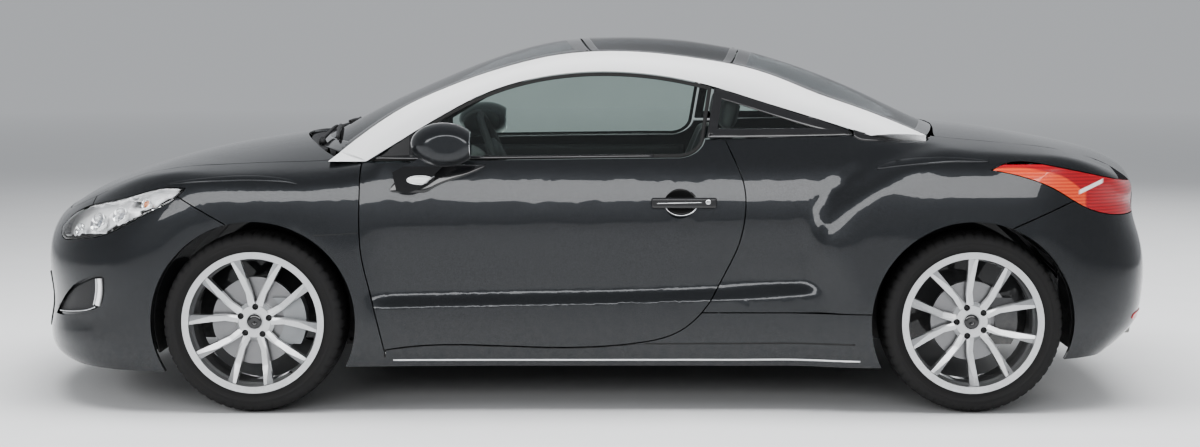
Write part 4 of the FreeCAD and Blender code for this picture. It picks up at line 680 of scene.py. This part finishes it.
def lay(name, tree, view, rows, lift, material, body):
    """A thin closed piece over rows of (a, b, height over the skin)."""
    grid, normals = [], []
    for row in rows:
        shots = [(*shot(tree, view, a, b), height) for a, b, height in row]
        grid.append([spot + normal * height for spot, normal, height in shots])
        normals.append([normal for _, normal, _ in shots])
    piece(name, solid_strip(grid, 0.002 + lift, normals), material, body)


def lay_strip(name, tree, view, path, width, lift, material, body="base", steps=8, lean=0.3):
    """A strip along a path of (a, b) on the skin, crowned across its width."""
    line = smooth_path(path, steps)
    rows = []
    for i, (a, b) in enumerate(line):
        before, after = line[max(i - 1, 0)], line[min(i + 1, len(line) - 1)]
        run = math.dist(before, after) or 1.0
        wide = width(i / (len(line) - 1)) if callable(width) else width
        over_a, over_b = -(after[1] - before[1]) / run * wide, (after[0] - before[0]) / run * wide
        rows.append([(a + over_a * t, b + over_b * t, lift * (1.0 - lean * (2 * t) ** 4))
                     for t in (-0.5, -0.38, 0.0, 0.38, 0.5)])
    lay(name, tree, view, rows, lift, material, body)


def lay_patch(name, tree, view, columns, lift, material, body="base", rows=10, steps=5, crown=0.0):
    """A filled shape on the skin from columns of (a, lowest b, highest b)."""
    line = smooth_path(columns, steps)
    spots = []
    for i, (a, low, high) in enumerate(line):
        along = math.sin(math.pi * i / (len(line) - 1))
        swell = [math.sqrt(max(math.sin(math.pi * k / rows) * along, 0.0)) for k in range(rows + 1)]
        spots.append([(a, low + (high - low) * k / rows, lift + crown * s) for k, s in enumerate(swell)])
    lay(name, tree, view, spots, lift, material, body)


def oval(a, b, wide, high, power=2.0):
    """Columns of an oval for lay_patch."""
    result = []
    for k in range(13):
        u = -math.cos(math.pi * k / 12)
        reach = max(high * max(1 - abs(u) ** power, 0.0) ** (1 / power), 0.0004)
        result.append((a + wide * u, b - reach, b + reach))
    return result


def arc(a, b, wide, high, start, turn):
    """Seventeen points along an arc of an oval, from an angle over a turn, in degrees."""
    angles = (math.radians(start + turn * k / 16) for k in range(17))
    return [(a + wide * math.cos(angle), b + high * math.sin(angle)) for angle in angles]


# Padded seats
def pad(name, path, half_width, half_thick, centre_y, bolster=0.0, seam=None, cross=(), crown=0.010,
        steps=14):
    """A cushion along a path of (x, z) points: round sections, side bolsters, seams along and across."""
    around, power, rounding = 56, 2 / 3.2, 0.045
    line = smooth_path(path, steps)
    lengths = [0.0]
    for p, q in zip(line, line[1:]):
        lengths.append(lengths[-1] + math.dist(p, q))
    total = lengths[-1]
    grid = []
    for i, (x, z) in enumerate(line):
        before, after = line[max(i - 1, 0)], line[min(i + 1, len(line) - 1)]
        run = math.dist(before, after)
        up = (-(after[1] - before[1]) / run, (after[0] - before[0]) / run)
        near_end = min(lengths[i], total - lengths[i]) / rounding
        end = math.sqrt(max(1 - (1 - min(near_end, 1.0)) ** 2, 0.0))
        share = lengths[i] / total
        wide = (half_width(share) if callable(half_width) else half_width) * (0.86 + 0.14 * end)
        thick = (half_thick(share) if callable(half_thick) else half_thick) * max(end, 0.04)
        row = []
        for a in (2 * math.pi * k / around for k in range(around)):
            c, s = math.cos(a), math.sin(a)
            y = wide * math.copysign(abs(c) ** power, c)
            h = thick * math.copysign(abs(s) ** power, s)
            if s > 0:
                out = abs(y) / wide
                rise = bolster * max(0.0, min(1.0, (out - 0.62) / 0.2)) * (1 - max(0.0, out - 0.9) * 6)
                h += end * (crown * (1 - out ** 2) + rise)
                if seam:
                    h -= 0.0065 * end * math.exp(-((abs(y) - seam) / 0.0045) ** 2)
                if out < 0.66:
                    for place in cross:
                        h -= 0.0055 * math.exp(-((lengths[i] - place * total) / 0.0055) ** 2)
            row.append((x + up[0] * h, centre_y + y, z + up[1] * h))
        grid.append(row)
    made = piece(name, capped(surface(grid, close_columns=True), around), SEAT_LEATHER, slot="seat_cloth")
    return made


FRONT_SEAT_Y, REAR_SEAT_Y = 0.375, 0.278
cushion = [(-0.158, 0.372), (-0.08, 0.392), (0.08, 0.385), (0.27, 0.368)]
seat_back = [(0.300, 0.380), (0.352, 0.520), (0.430, 0.740), (0.500, 0.925), (0.522, 0.985)]
head_rest = [(0.531, 1.010), (0.545, 1.070), (0.562, 1.138)]
rear_cushion = [(0.692, 0.392), (0.76, 0.402), (0.85, 0.395), (0.915, 0.388)]
rear_back = [(0.935, 0.415), (0.957, 0.560), (0.975, 0.700), (0.984, 0.835)]
front_pads, rear_pads = [], []
for side, word in SIDES:
    y = side * FRONT_SEAT_Y
    front_pads.append(pad("seat_cushion_" + word, cushion, 0.248, 0.080, y, 0.020, 0.155,
                          (0.28, 0.52, 0.76)))
    pad("seat_back_" + word, seat_back, lambda t: 0.243 - 0.035 * t ** 2, lambda t: 0.070 - 0.030 * t, y,
        0.028, 0.150, (0.25, 0.42, 0.59, 0.76))
    pad("head_rest_" + word, head_rest, lambda t: 0.122 - 0.014 * t, 0.036, y, crown=0.006)
    for k in (-0.055, 0.055):
        post = [(0.515, y + k, 0.960), (0.524, y + k, 0.995), (0.534, y + k, 1.030)]
        where = "in" if k * side < 0 else "out"
        piece("head_post_%s_%s" % (word, where), swept_tube(post, 0.006), CHROME, slot="")
    slab("seat_frame_" + word, (-0.075, y - 0.185, 0.2006), (0.275, y + 0.185, 0.300), CABIN, 0.012)
    trim_y = y + side * 0.236
    slab("seat_trim_" + word, (-0.10, trim_y - 0.006, 0.285), (0.335, trim_y + 0.012, 0.352), CABIN, 0.006)
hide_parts("front_seats")
for side, word in SIDES:
    y = side * REAR_SEAT_Y
    rear_pads.append(pad("rear_cushion_" + word, rear_cushion, 0.262, 0.052, y, 0.012, 0.165, (0.35, 0.7),
                         steps=12))
    pad("rear_back_" + word, rear_back, 0.258, 0.030, y, 0.010, 0.160, (0.33, 0.62), steps=12)
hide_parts("rear_seat")
slab("rear_seat_base", (0.700, -0.535, 0.332), (0.990, 0.535, 0.372), CABIN, 0.010)
slab("rear_seat_divider", (0.72, -0.030, 0.37), (0.93, 0.030, 0.455), CABIN, 0.012)


# Trim on both sides: mirror plates, handles, sail corners, fog lamps, reflectors low at the back
BUMPER, TAIL = skin_of("front_bumper"), skin_of("rear_bumper")
mirror_plate = [(-0.706, 0.806, 0.814), (-0.690, 0.8020, 0.836), (-0.655, 0.8010, 0.874),
                (-0.612, 0.8008, 0.8975), (-0.575, 0.8030, 0.8990), (-0.535, 0.8250, 0.8990),
                (-0.490, 0.8440, 0.8988), (-0.424, 0.8660, 0.8980), (-0.362, 0.8940, 0.8970)]
sail_corner = [(-0.776, 0.9290, 0.9300), (-0.735, 0.9270, 0.9500), (-0.690, 0.9265, 0.9800),
               (-0.640, 0.9260, 1.0120)]
glass_foot = [(-0.775, 0.9225), (-0.60, 0.9210), (-0.30, 0.9250), (0.0, 0.9285), (0.25, 0.9310)]
fog_panel = [(-1.985, 0.3290, 0.3560), (-1.940, 0.3370, 0.3980), (-1.890, 0.3450, 0.4420),
             (-1.840, 0.3560, 0.4690), (-1.800, 0.3680, 0.4850), (-1.772, 0.3900, 0.4900),
             (-1.760, 0.4250, 0.4860)]
fog_chrome = [(-1.975, 0.3370), (-1.930, 0.3440), (-1.880, 0.3520), (-1.830, 0.3620), (-1.794, 0.3760)]
day_lamp = [(-1.7840, 0.3840), (-1.7740, 0.4200), (-1.7700, 0.4550), (-1.7710, 0.4840)]
day_lamp_rim = [(-1.7970, 0.3840), (-1.7870, 0.4200), (-1.7830, 0.4550), (-1.7830, 0.4840)]
for side, word in SIDES:
    door = "door_" + word
    door_skin, glass_skin = skin_of(door), skin_of("door_glass_" + word)
    handle_skin, mirror_skin = skin_of("handle_" + word), skin_of(door, "mirror_" + word)
    lay_patch("mirror_plate_" + word, door_skin, word, mirror_plate, 0.007, GLOSS, door, crown=0.002)
    lay_patch("repeater_" + word, mirror_skin, word, oval(-0.588, 0.852, 0.046, 0.013, 2.6), 0.004,
              LENS_WHITE, door, crown=0.003)
    lay_strip("repeater_rim_" + word, mirror_skin, word, arc(-0.588, 0.852, 0.049, 0.0155, 0, 360), 0.004,
              0.0035, CHROME, door, 3)
    # A near-black oval under the handle on the flat door: painted shade for the hollow of its recess
    lay_patch("handle_cup_shade_" + word, door_skin, word, oval(0.350, 0.766, 0.060, 0.047), 0.0004, HANDLE_RECESS_SHADE, door, 14)
    lay_strip("handle_arc_" + word, door_skin, word, arc(0.350, 0.763, 0.060, 0.047, 180, 180), 0.0042,
              0.004, CHROME, door, 3)
    lay_strip("handle_line_" + word, handle_skin, word,
              [(0.262, 0.7640), (0.34, 0.7655), (0.425, 0.7675)], 0.0030, 0.0012, CHROME, door)
    lay_patch("key_lock_" + word, handle_skin, word, oval(0.4480, 0.7690, 0.0095, 0.0095), 0.0025, CHROME,
              door, crown=0.001)
    lay_patch("sail_corner_" + word, glass_skin, word, sail_corner, 0.003, TRIM, door)
    lay_strip("sail_post_" + word, glass_skin, word, [(-0.636, 0.926), (-0.636, 0.970), (-0.636, 1.016)],
              0.016, 0.004, GLOSS, door)
    lay_strip("glass_foot_" + word, glass_skin, word, glass_foot, 0.012, 0.006, GLOSS, door)
    lay_patch("fog_panel_" + word, BUMPER, word, fog_panel, 0.001, TRIM, rows=12)
    lay_strip("fog_chrome_" + word, BUMPER, word, fog_chrome, 0.0065, 0.011, CHROME)
    lay_strip("day_lamp_" + word, BUMPER, word, day_lamp, lambda t: 0.019 - 0.005 * t, 0.012, LENS_WHITE)
    lay_strip("day_lamp_rim_" + word, BUMPER, word, day_lamp_rim, 0.0045, 0.013, CHROME)
    lay_patch("mirror_glass_" + word, skin_of("mirror_" + word), "rear",
              oval(side * 0.982, 0.984, 0.042, 0.046), 0.0012, MIRROR_GLASS, door, 14)
    lay_strip("seal_line_" + word, skin_of("quarter_panels", "rear_bumper"), word,
              [(1.500, 0.6500), (1.557, 0.6780), (1.640, 0.7130), (1.769, 0.7700)], 0.0030, 0.0004, SEAL)
    lay_patch("rear_reflector_" + word, TAIL, "rear", oval(side * 0.640, 0.330, 0.095, 0.016, 3.0), 0.003,
              RED_GLASS)

# Frame of the lower intake, and the dark lower panel at the back
lay_strip("intake_lip", BUMPER, "front",
          [(-0.476, 0.4700), (-0.30, 0.4785), (0.0, 0.4800), (0.30, 0.4785), (0.476, 0.4700)], 0.013,
          0.0012, CHROME, steps=14)
lay_strip("intake_foot", BUMPER, "front", [(-0.384, 0.2520), (0.0, 0.2500), (0.384, 0.2520)], 0.014, 0.005,
          GLOSS, steps=20)
for side, word in SIDES:
    lay_strip("intake_side_" + word, BUMPER, "front",
              [(side * 0.486, 0.4680), (side * 0.440, 0.3600), (side * 0.392, 0.2540)], 0.013, 0.005, GLOSS,
              steps=12)
half_valance = [(0.45, 0.205, 0.296), (0.60, 0.205, 0.275), (0.66, 0.205, 0.225)]
valance = [(-a, low, high) for a, low, high in half_valance[::-1]] + [(0.0, 0.205, 0.300)] + half_valance
lay_patch("rear_valance", TAIL, "rear", valance, 0.0015, TRIM, rows=8, steps=8)

# Wipers, parked across the foot of the windscreen
SCREEN = skin_of("windscreen", "cowl")


def on_screen(x, y, lift):
    spot, normal = shot(SCREEN, "top", x, y)
    return tuple(spot + normal * lift)


def wiper(word, pivot, elbow, ends):
    base = Vector(on_screen(*pivot, 0.0))
    spindle = [(0.0, 0.0001), (0.0, 0.015), (0.012, 0.0135), (0.022, 0.011), (0.024, 0.0001)]
    piece("wiper_spindle_" + word, turned(spindle, base, (-0.25, 0, 1)), TRIM)
    middle = [(p + q) / 2 for p, q in zip(*ends)]
    arm = [tuple(base + Vector((-0.003, 0, 0.018))), on_screen(*elbow, 0.022), on_screen(*middle, 0.022)]
    piece("wiper_arm_" + word, swept_tube(smooth_path(arm, 10), lambda t: 0.0085 - 0.0035 * t), TRIM)
    line = [[p + (q - p) * k / 16 for p, q in zip(*ends)] for k in range(17)]
    piece("wiper_rubber_" + word, swept_tube([on_screen(*spot, 0.006) for spot in line], 0.0040, 8), SEAL)
    piece("wiper_blade_" + word, swept_tube([on_screen(*spot, 0.0135) for spot in line],
                                            lambda t: 0.0042 + 0.0035 * math.sin(math.pi * t), 10), TRIM)


wiper("left", (-1.015, -0.43), (-0.985, -0.30), ((-0.935, -0.555), (-1.000, -0.02)))
wiper("right", (-1.035, 0.20), (-1.000, 0.30), ((-0.975, 0.03), (-0.945, 0.545)))

# Head lamp modules behind the lens: three round projectors and an amber lamp at the tip
LAMPS = skin_of("headlamps")
for side, word in SIDES:
    for label, a, b, size, ball, glass in (("main", -1.800, 0.690, 0.036, 0.020, BALL_GLASS),
                                           ("beam", -1.705, 0.722, 0.031, 0.017, BALL_GLASS),
                                           ("side", -1.885, 0.660, 0.022, 0.012, BALL_GLASS),
                                           ("turn", -1.600, 0.765, 0.018, 0.011, AMBER)):
        spot, normal = shot(LAMPS, word, a, b)
        centre = spot - normal * 0.042
        ring = [(0.0, size * 0.55), (0.004, size * 0.80), (0.016, size * 0.98), (0.030, size),
                (0.031, size * 0.92), (0.018, size * 0.86), (0.008, size * 0.62)]
        piece("lamp_%s_%s_ring" % (label, word), turned(ring, centre, normal), CHROME)
        dome = [(0.003 + ball * math.cos(t), max(ball * 1.05 * math.sin(t), 0.0001))
                for t in (math.pi / 20 * k for k in range(11))]
        front = turned([(0.001, 0.0001)] + dome[::-1], centre, normal, 40)
        piece("lamp_%s_%s_glass" % (label, word), front, glass)


# Cabin: carpets, door cards, console, levers, hood over the dials, screen, vents, wheel pad, interior mirror
def carpet(name, spot, steps_a, steps_b, way):
    """A pile sheet over spot(s, t), s and t from 0 to 1, thickened along way."""
    grid = [[Vector(spot(i / steps_a, k / steps_b)) for k in range(steps_b + 1)] for i in range(steps_a + 1)]
    grid = [[p + way * (0.0062 + 0.0010 * noise.noise(p * 9)) for p in row] for row in grid]
    piece(name, solid_strip(grid, 0.005, [[way] * len(row) for row in grid]), CARPET)


def eased(value, low, high, rounding):
    """1 within a range, falling to 0 at its ends along a quarter round."""
    near = min(value - low, high - value) / rounding
    return math.sqrt(max(0.0, 1 - max(0.0, 1 - near) ** 2))


FLOOR_Z, TUNNEL_Y = 0.2000, 0.140
UP, BACK = Vector((0, 0, 1)), Vector((1, 0, 0))
# Parts of a door card: name, ends along X, ends in Z, height over the door, material
CARDS = (("card_upper_", -0.600, 0.400, 0.700, 0.880, 0.012, SEAT_LEATHER),
         ("card_lower_", -0.620, 0.380, 0.330, 0.560, 0.010, CABIN),
         ("card_rest_", -0.420, 0.330, 0.585, 0.655, 0.055, SEAT_LEATHER),
         ("card_pocket_", -0.520, 0.050, 0.360, 0.470, 0.038, CABIN))
for side, word in SIDES:
    carpet("carpet_" + word,
           lambda s, t: (-0.812 + 1.48 * s, side * (TUNNEL_Y + 0.500 * t), FLOOR_Z), 66, 24, UP)
    carpet("foot_carpet_" + word,
           lambda s, t: (-0.907 + 0.095 * s, side * (TUNNEL_Y + 0.325 * t), FLOOR_Z), 6, 16, UP)
    carpet("toe_carpet_" + word,
           lambda s, t: (-0.9130, side * (TUNNEL_Y + 0.325 * t), 0.208 + 0.33 * s), 16, 16, BACK)
    inner, door = skin_of("door_" + word), "door_" + word

    def card_face(x, z, lift):
        spot, _, _, _ = inner.ray_cast(Vector((x, side * 0.3, z)), Vector((0, side, 0)))
        return x, (spot.y if spot is not None else side * 0.78) - side * lift, z

    for label, x0, x1, z0, z1, lift, material in CARDS:
        grid = []
        for x in (x0 + (x1 - x0) * i / 32 for i in range(33)):
            grid.append([card_face(x, z, lift * eased(x, x0, x1, 0.03) * eased(z, z0, z1, 0.02) + 0.0005)
                         for z in (z0 + (z1 - z0) * k / 16 for k in range(17))])
        piece(label + word, surface(grid), material, door).modifiers.new("wall", "SOLIDIFY").thickness = 0.002
    pull = [card_face(-0.30 + 0.012 * k, 0.700, 0.014 + 0.026 * math.sin(math.pi * k / 14))
            for k in range(15)]
    piece("door_pull_" + word, swept_tube(pull, 0.007), CHROME, door)

slab("console", (-0.520, -0.095, 0.330), (0.560, 0.095, 0.440), CABIN, 0.022, 4)
slab("console_front", (-0.560, -0.110, 0.420), (-0.440, 0.110, 0.700), CABIN, 0.012, 3, -0.030)
pad("console_rest", [(0.16, 0.462), (0.30, 0.470), (0.44, 0.462)], 0.078, 0.022, 0.0, crown=0.008, steps=12)
LEVER_LEAN = (0.06, 0, 1)
gaiter = [(0.0, 0.052), (0.012, 0.046), (0.030, 0.030), (0.050, 0.019), (0.070, 0.012), (0.071, 0.0001)]
piece("gear_gaiter", turned(gaiter, (-0.170, 0.0, 0.438), LEVER_LEAN, 40), SEAT_LEATHER)
piece("gear_lever", swept_tube([(-0.166, 0, 0.500), (-0.158, 0, 0.545), (-0.152, 0, 0.575)], 0.006), CHROME)
knob = [(-0.022, 0.0001), (-0.021, 0.012), (-0.008, 0.021), (0.010, 0.0235), (0.022, 0.017), (0.027, 0.0001)]
piece("gear_knob", turned(knob, (-0.150, 0, 0.590), LEVER_LEAN, 40), SEAT_LEATHER)
piece("hand_brake", swept_tube([(0.06, 0.045, 0.448), (-0.02, 0.045, 0.470), (-0.10, 0.045, 0.487)],
                               lambda t: 0.012 + 0.003 * t, 14), SEAT_LEATHER)

DASH = skin_of("dashboard")
hood = []
for t in (i / 20 for i in range(21)):
    x = -0.700 + 0.215 * t
    swell = 0.55 + 0.45 * math.sin(math.pi * min(1.0, t * 1.15) / 2)
    row = []
    for a in (math.pi * k / 32 for k in range(33)):
        y = -FRONT_SEAT_Y + 0.155 * math.cos(a) * swell
        row.append((x, y, shot(DASH, "top", min(x, -0.455), y)[0].z - 0.002 + 0.052 * math.sin(a) * swell))
    hood.append(row)
piece("dial_hood", surface(hood), SEAT_LEATHER).modifiers.new("wall", "SOLIDIFY").thickness = 0.004
dial = [(0.0, 0.0001), (0.0, 0.040), (0.012, 0.046), (0.012, 0.043), (0.003, 0.038), (0.003, 0.0001)]
for k, y in enumerate((-0.435, -0.315)):
    piece("dial_%d" % (k + 1), turned(dial, (-0.556, y, 0.876), (1, 0, 0.30)), GLOSS)
vent_way = Vector((1, 0, 0.35)).normalized()
for k, y in enumerate((-0.585, -0.085, 0.085, 0.585)):
    hit, _, _, _ = DASH.ray_cast(Vector((0.2, y, 0.800)), Vector((-1, 0, 0)))
    centre = (hit if hit is not None else Vector((-0.455, y, 0.800))) - vent_way * 0.004
    ring = [(0.0, 0.030), (0.006, 0.040), (0.009, 0.038), (0.009, 0.031), (0.003, 0.029)]
    core = [(0.003, 0.0001), (0.003, 0.030), (0.005, 0.030), (0.007, 0.008), (0.007, 0.0001)]
    piece("vent_ring_%d" % (k + 1), turned(ring, centre, vent_way, 40), CHROME)
    piece("vent_core_%d" % (k + 1), turned(core, centre, vent_way, 32), TRIM)
slab("centre_screen", (-0.552, -0.100, 0.868), (-0.536, 0.100, 0.945), GLOSS, 0.004, 2, -0.020)

tilt = math.radians(24)
hub = [(-0.020, 0.0001), (-0.020, 0.060), (-0.004, 0.075), (0.012, 0.068), (0.022, 0.045), (0.026, 0.0001)]
axis = (math.cos(tilt), 0, math.sin(tilt))
piece("wheel_pad", turned(hub, (-0.345, -FRONT_SEAT_Y, 0.905), axis, 64), CABIN, "steering_wheel")

spot, _, _, _ = SCREEN.ray_cast(Vector((-0.335, 0.0, 0.9)), UP)
top = spot if spot is not None else Vector((-0.335, 0, 1.27))
piece("cabin_mirror_stem", swept_tube([top + Vector(way) for way in ((0, 0, -0.002), (0.020, 0, -0.030),
                                                                     (0.038, 0, -0.052))], 0.008), TRIM)
shell = bmesh.new()
bmesh.ops.create_uvsphere(shell, u_segments=40, v_segments=24, radius=1.0)
for vert in shell.verts:
    sizes = ((0.8, 0.017), (0.75, 0.115), (0.75, 0.033))
    boxed = [math.copysign(abs(c) ** power, c) * size for c, (power, size) in zip(vert.co, sizes)]
    vert.co = Vector(boxed) + top + Vector((0.048, 0, -0.062))
piece("cabin_mirror", shell, TRIM)


# Felt lips that close the wheel liners against the panels
def liner_lip(name, x, side, word, skin, turn):
    foot, radius = 0.833, 0.3737
    grid, normals = [], []
    for k in range(73):
        a = math.radians(-turn + 2 * turn * k / 72)
        way = Vector((math.sin(a), 0, math.cos(a)))
        place = Vector((x, 0, HUB_Z)) + way * radius
        reach = max(abs(shot(skin, word, place.x, place.z)[0].y) - 0.006, foot + 0.003)
        grid.append([(place.x, side * (foot + (reach - foot) * t), place.z) for t in (0.0, 0.5, 1.0)])
        normals.append([way] * 3)
    piece(name, solid_strip(grid, 0.0025, normals), LINER)


# Seals, seams and creases on both sides; along the sill, a dark strip of painted shade in its groove and a
# silver strip of painted highlight at its foot
for side, word in SIDES:
    lower = smooth_path([(0.985, 0.9990, 0.7690), (1.012, 0.9850, 0.7803), (1.060, 0.9840, 0.7796),
                         (1.110, 0.9850, 0.7730), (1.165, 0.9845, 0.7640)], 6)
    upper = smooth_path([(0.985, 1.0255, 0.7635), (1.012, 1.0175, 0.7690), (1.060, 1.0065, 0.7680),
                         (1.110, 0.9960, 0.7560), (1.165, 0.9870, 0.7470)], 6)
    grid = [[(p[0] + (q[0] - p[0]) * t, side * (p[2] + (q[2] - p[2]) * t), p[1] + (q[1] - p[1]) * t)
             for t in (0.0, 0.3, 0.7, 1.0)] for p, q in zip(lower, upper)]
    piece("arch_seal_" + word, solid_strip(grid, 0.004, [[(0, side * 0.9, 0.45)] * 4] * len(grid)), GLOSS)
    fender, sill = skin_of("front_fenders"), skin_of("side_skirts")
    lay_strip("fender_seam_" + word, fender, word,
              [(-0.985, 0.6480), (-0.930, 0.6505), (-0.870, 0.6535), (-0.812, 0.6580)], 0.0032, 0.0004, SEAL)
    lay_strip("crease_front_" + word, fender, word,
              [(-1.508, 0.8325), (-1.392, 0.8470), (-1.229, 0.8560), (-1.099, 0.8488), (-1.037, 0.8343)],
              lambda t: 0.0010 + 0.018 * math.sin(math.pi * t) ** 0.7, 0.0038, SLATE, steps=14, lean=0.98)
    lay_strip("crease_rear_" + word, skin_of("quarter_panels"), word,
              [(1.060, 0.8880), (1.120, 0.9054), (1.2015, 0.9163), (1.334, 0.9217), (1.462, 0.9150)],
              lambda t: 0.0010 + 0.024 * math.sin(math.pi * t) ** 0.7, 0.0045, SLATE, steps=14, lean=0.98)
    # A dark rubber strip along the sill: painted shade that stands in for the shadow in the sill's groove
    # line
    lay_strip("sill_groove_shade_" + word, sill, word,
              [(-0.780, 0.2500), (-0.30, 0.2490), (0.30, 0.2490), (0.980, 0.2520)], 0.0055, 0.0006, SEAL,
              steps=16)
    # A silver strip along the sill's foot: a painted highlight that stands in for the light on the sill's
    # lower lip
    lay_strip("sill_highlight_strip_" + word, sill, word,
              [(-0.820, 0.1900), (-0.30, 0.1880), (0.30, 0.1880), (1.000, 0.1900)], 0.0060, 0.0030, SILVER,
              steps=16)
for side, word in SIDES:
    liner_lip("front_liner_lip_" + word, FRONT_X, side, word, skin_of("front_fenders", "front_bumper"), 106)
    liner_lip("rear_liner_lip_" + word, REAR_X, side, word, skin_of("quarter_panels", "rear_bumper"), 103)

# Engine cover, oil cap and hoses under the bonnet
slab("engine_cover", (-1.740, -0.300, 0.7602), (-1.390, 0.300, 0.798), TRIM, 0.014, 3)
for k in range(5):
    y = -0.20 + 0.10 * k
    slab("cover_rib_%d" % (k + 1), (-1.700, y - 0.016, 0.797), (-1.430, y + 0.016, 0.8045), CABIN, 0.004)
oil_cap = [(0.0, 0.028), (0.014, 0.028), (0.018, 0.024), (0.018, 0.009), (0.026, 0.007), (0.028, 0.0001)]
piece("oil_cap", turned(oil_cap, (-1.660, -0.250, 0.797), UP, 40), TRIM)
duct = [(-1.800, 0.34, 0.735), (-1.760, 0.35, 0.748), (-1.65, 0.358, 0.766), (-1.50, 0.355, 0.776),
        (-1.38, 0.30, 0.764), (-1.345, 0.24, 0.722)]
hose = [(-1.795, -0.34, 0.720), (-1.74, -0.352, 0.750), (-1.62, -0.356, 0.772), (-1.50, -0.345, 0.776),
        (-1.41, -0.31, 0.7625)]
piece("air_duct", swept_tube(smooth_path(duct, 6), 0.026, 24), TRIM)
piece("coolant_hose", swept_tube(smooth_path(hose, 6), 0.016, 20), SEAL)


# Camera at the photograph's place, floor and lights
SKY, SKY_POWER = (0.80, 0.82, 0.85), 0.50
PHOTO_PIXELS, FOCAL_PIXELS, SENSOR = 1200.0, 1948.0, 36.0
PITCH_PIXELS, SHIFT_X_PIXELS, SHIFT_Y_PIXELS = 124.5, -35.0, -72.0


def link(made):
    bpy.context.scene.collection.objects.link(made)
    return made


def camera():
    data = bpy.data.cameras.new("view")
    data.sensor_width = SENSOR
    data.lens = SENSOR * FOCAL_PIXELS / PHOTO_PIXELS
    data.shift_x, data.shift_y = SHIFT_X_PIXELS / PHOTO_PIXELS, SHIFT_Y_PIXELS / PHOTO_PIXELS
    made = link(bpy.data.objects.new("view", data))
    made.location = (0.183, -7.905, 1.401)
    made.rotation_euler = (math.pi / 2 - math.atan(PITCH_PIXELS / FOCAL_PIXELS), 0, 0)
    bpy.context.scene.camera = made


def soft_light(name, place, aim, size, power, mirrored=False):
    data = bpy.data.lights.new(name, "AREA")
    data.shape = "RECTANGLE"
    data.size, data.size_y = size
    data.energy = power
    made = link(bpy.data.objects.new(name, data))
    made.location = place
    made.rotation_euler = (Vector(aim) - Vector(place)).to_track_quat("-Z", "Y").to_euler()
    made.visible_camera = False
    made.visible_glossy = mirrored


def floor():
    """A wide flat floor that fades into the colour of the sky far away."""
    made, tree, shader = new_material("studio_floor", Roughness=0.7, Specular_IOR_Level=0.0,
                                      Emission_Color=SKY + (1,))
    place = object_place(tree)
    distance = put(tree, "ShaderNodeVectorMath", {0: place}, operation="LENGTH").outputs["Value"]
    far = remap(tree, distance, 5.0, 26.0)
    near = mix(tree, noise_at(tree, place, 3.0), (0.62, 0.625, 0.63), (0.65, 0.655, 0.66))
    finish(tree, shader, mix(tree, far, near, (0, 0, 0)))
    tree.links.new(times(tree, far, SKY_POWER), shader.inputs["Emission Strength"])
    edges = (-250, -60, 0, 60, 250)
    data = data_of(outward(surface([[(x, y, -0.0005) for x in edges] for y in edges])), "floor")
    data.materials.append(made)
    for face in data.polygons:
        face.use_smooth = True
    link(bpy.data.objects.new("floor", data))


camera()
floor()
world = bpy.data.worlds.new("studio")
world.use_nodes = True
world.node_tree.nodes["Background"].inputs["Color"].default_value = SKY + (1,)
world.node_tree.nodes["Background"].inputs["Strength"].default_value = SKY_POWER
bpy.context.scene.world = world
soft_light("overhead", (0.2, -0.6, 5.6), (0.2, 0, 0.5), (8.0, 3.2), 620)
soft_light("near_side", (-1.0, -9.5, 3.3), (0, 0, 0.6), (13.0, 2.4), 440, mirrored=True)
soft_light("front_fill", (-7.5, -3.0, 3.2), (-1, 0, 0.6), (5.0, 3.0), 190)
soft_light("rear_fill", (7.5, 2.5, 3.6), (1, 0, 0.6), (5.0, 3.0), 190)
soft_light("far_side", (1.0, 8.0, 4.5), (0, 0, 0.6), (9.0, 3.0), 220)
bpy.context.scene.view_settings.view_transform = "AgX"
bpy.context.scene.view_settings.look = "AgX - Medium High Contrast"
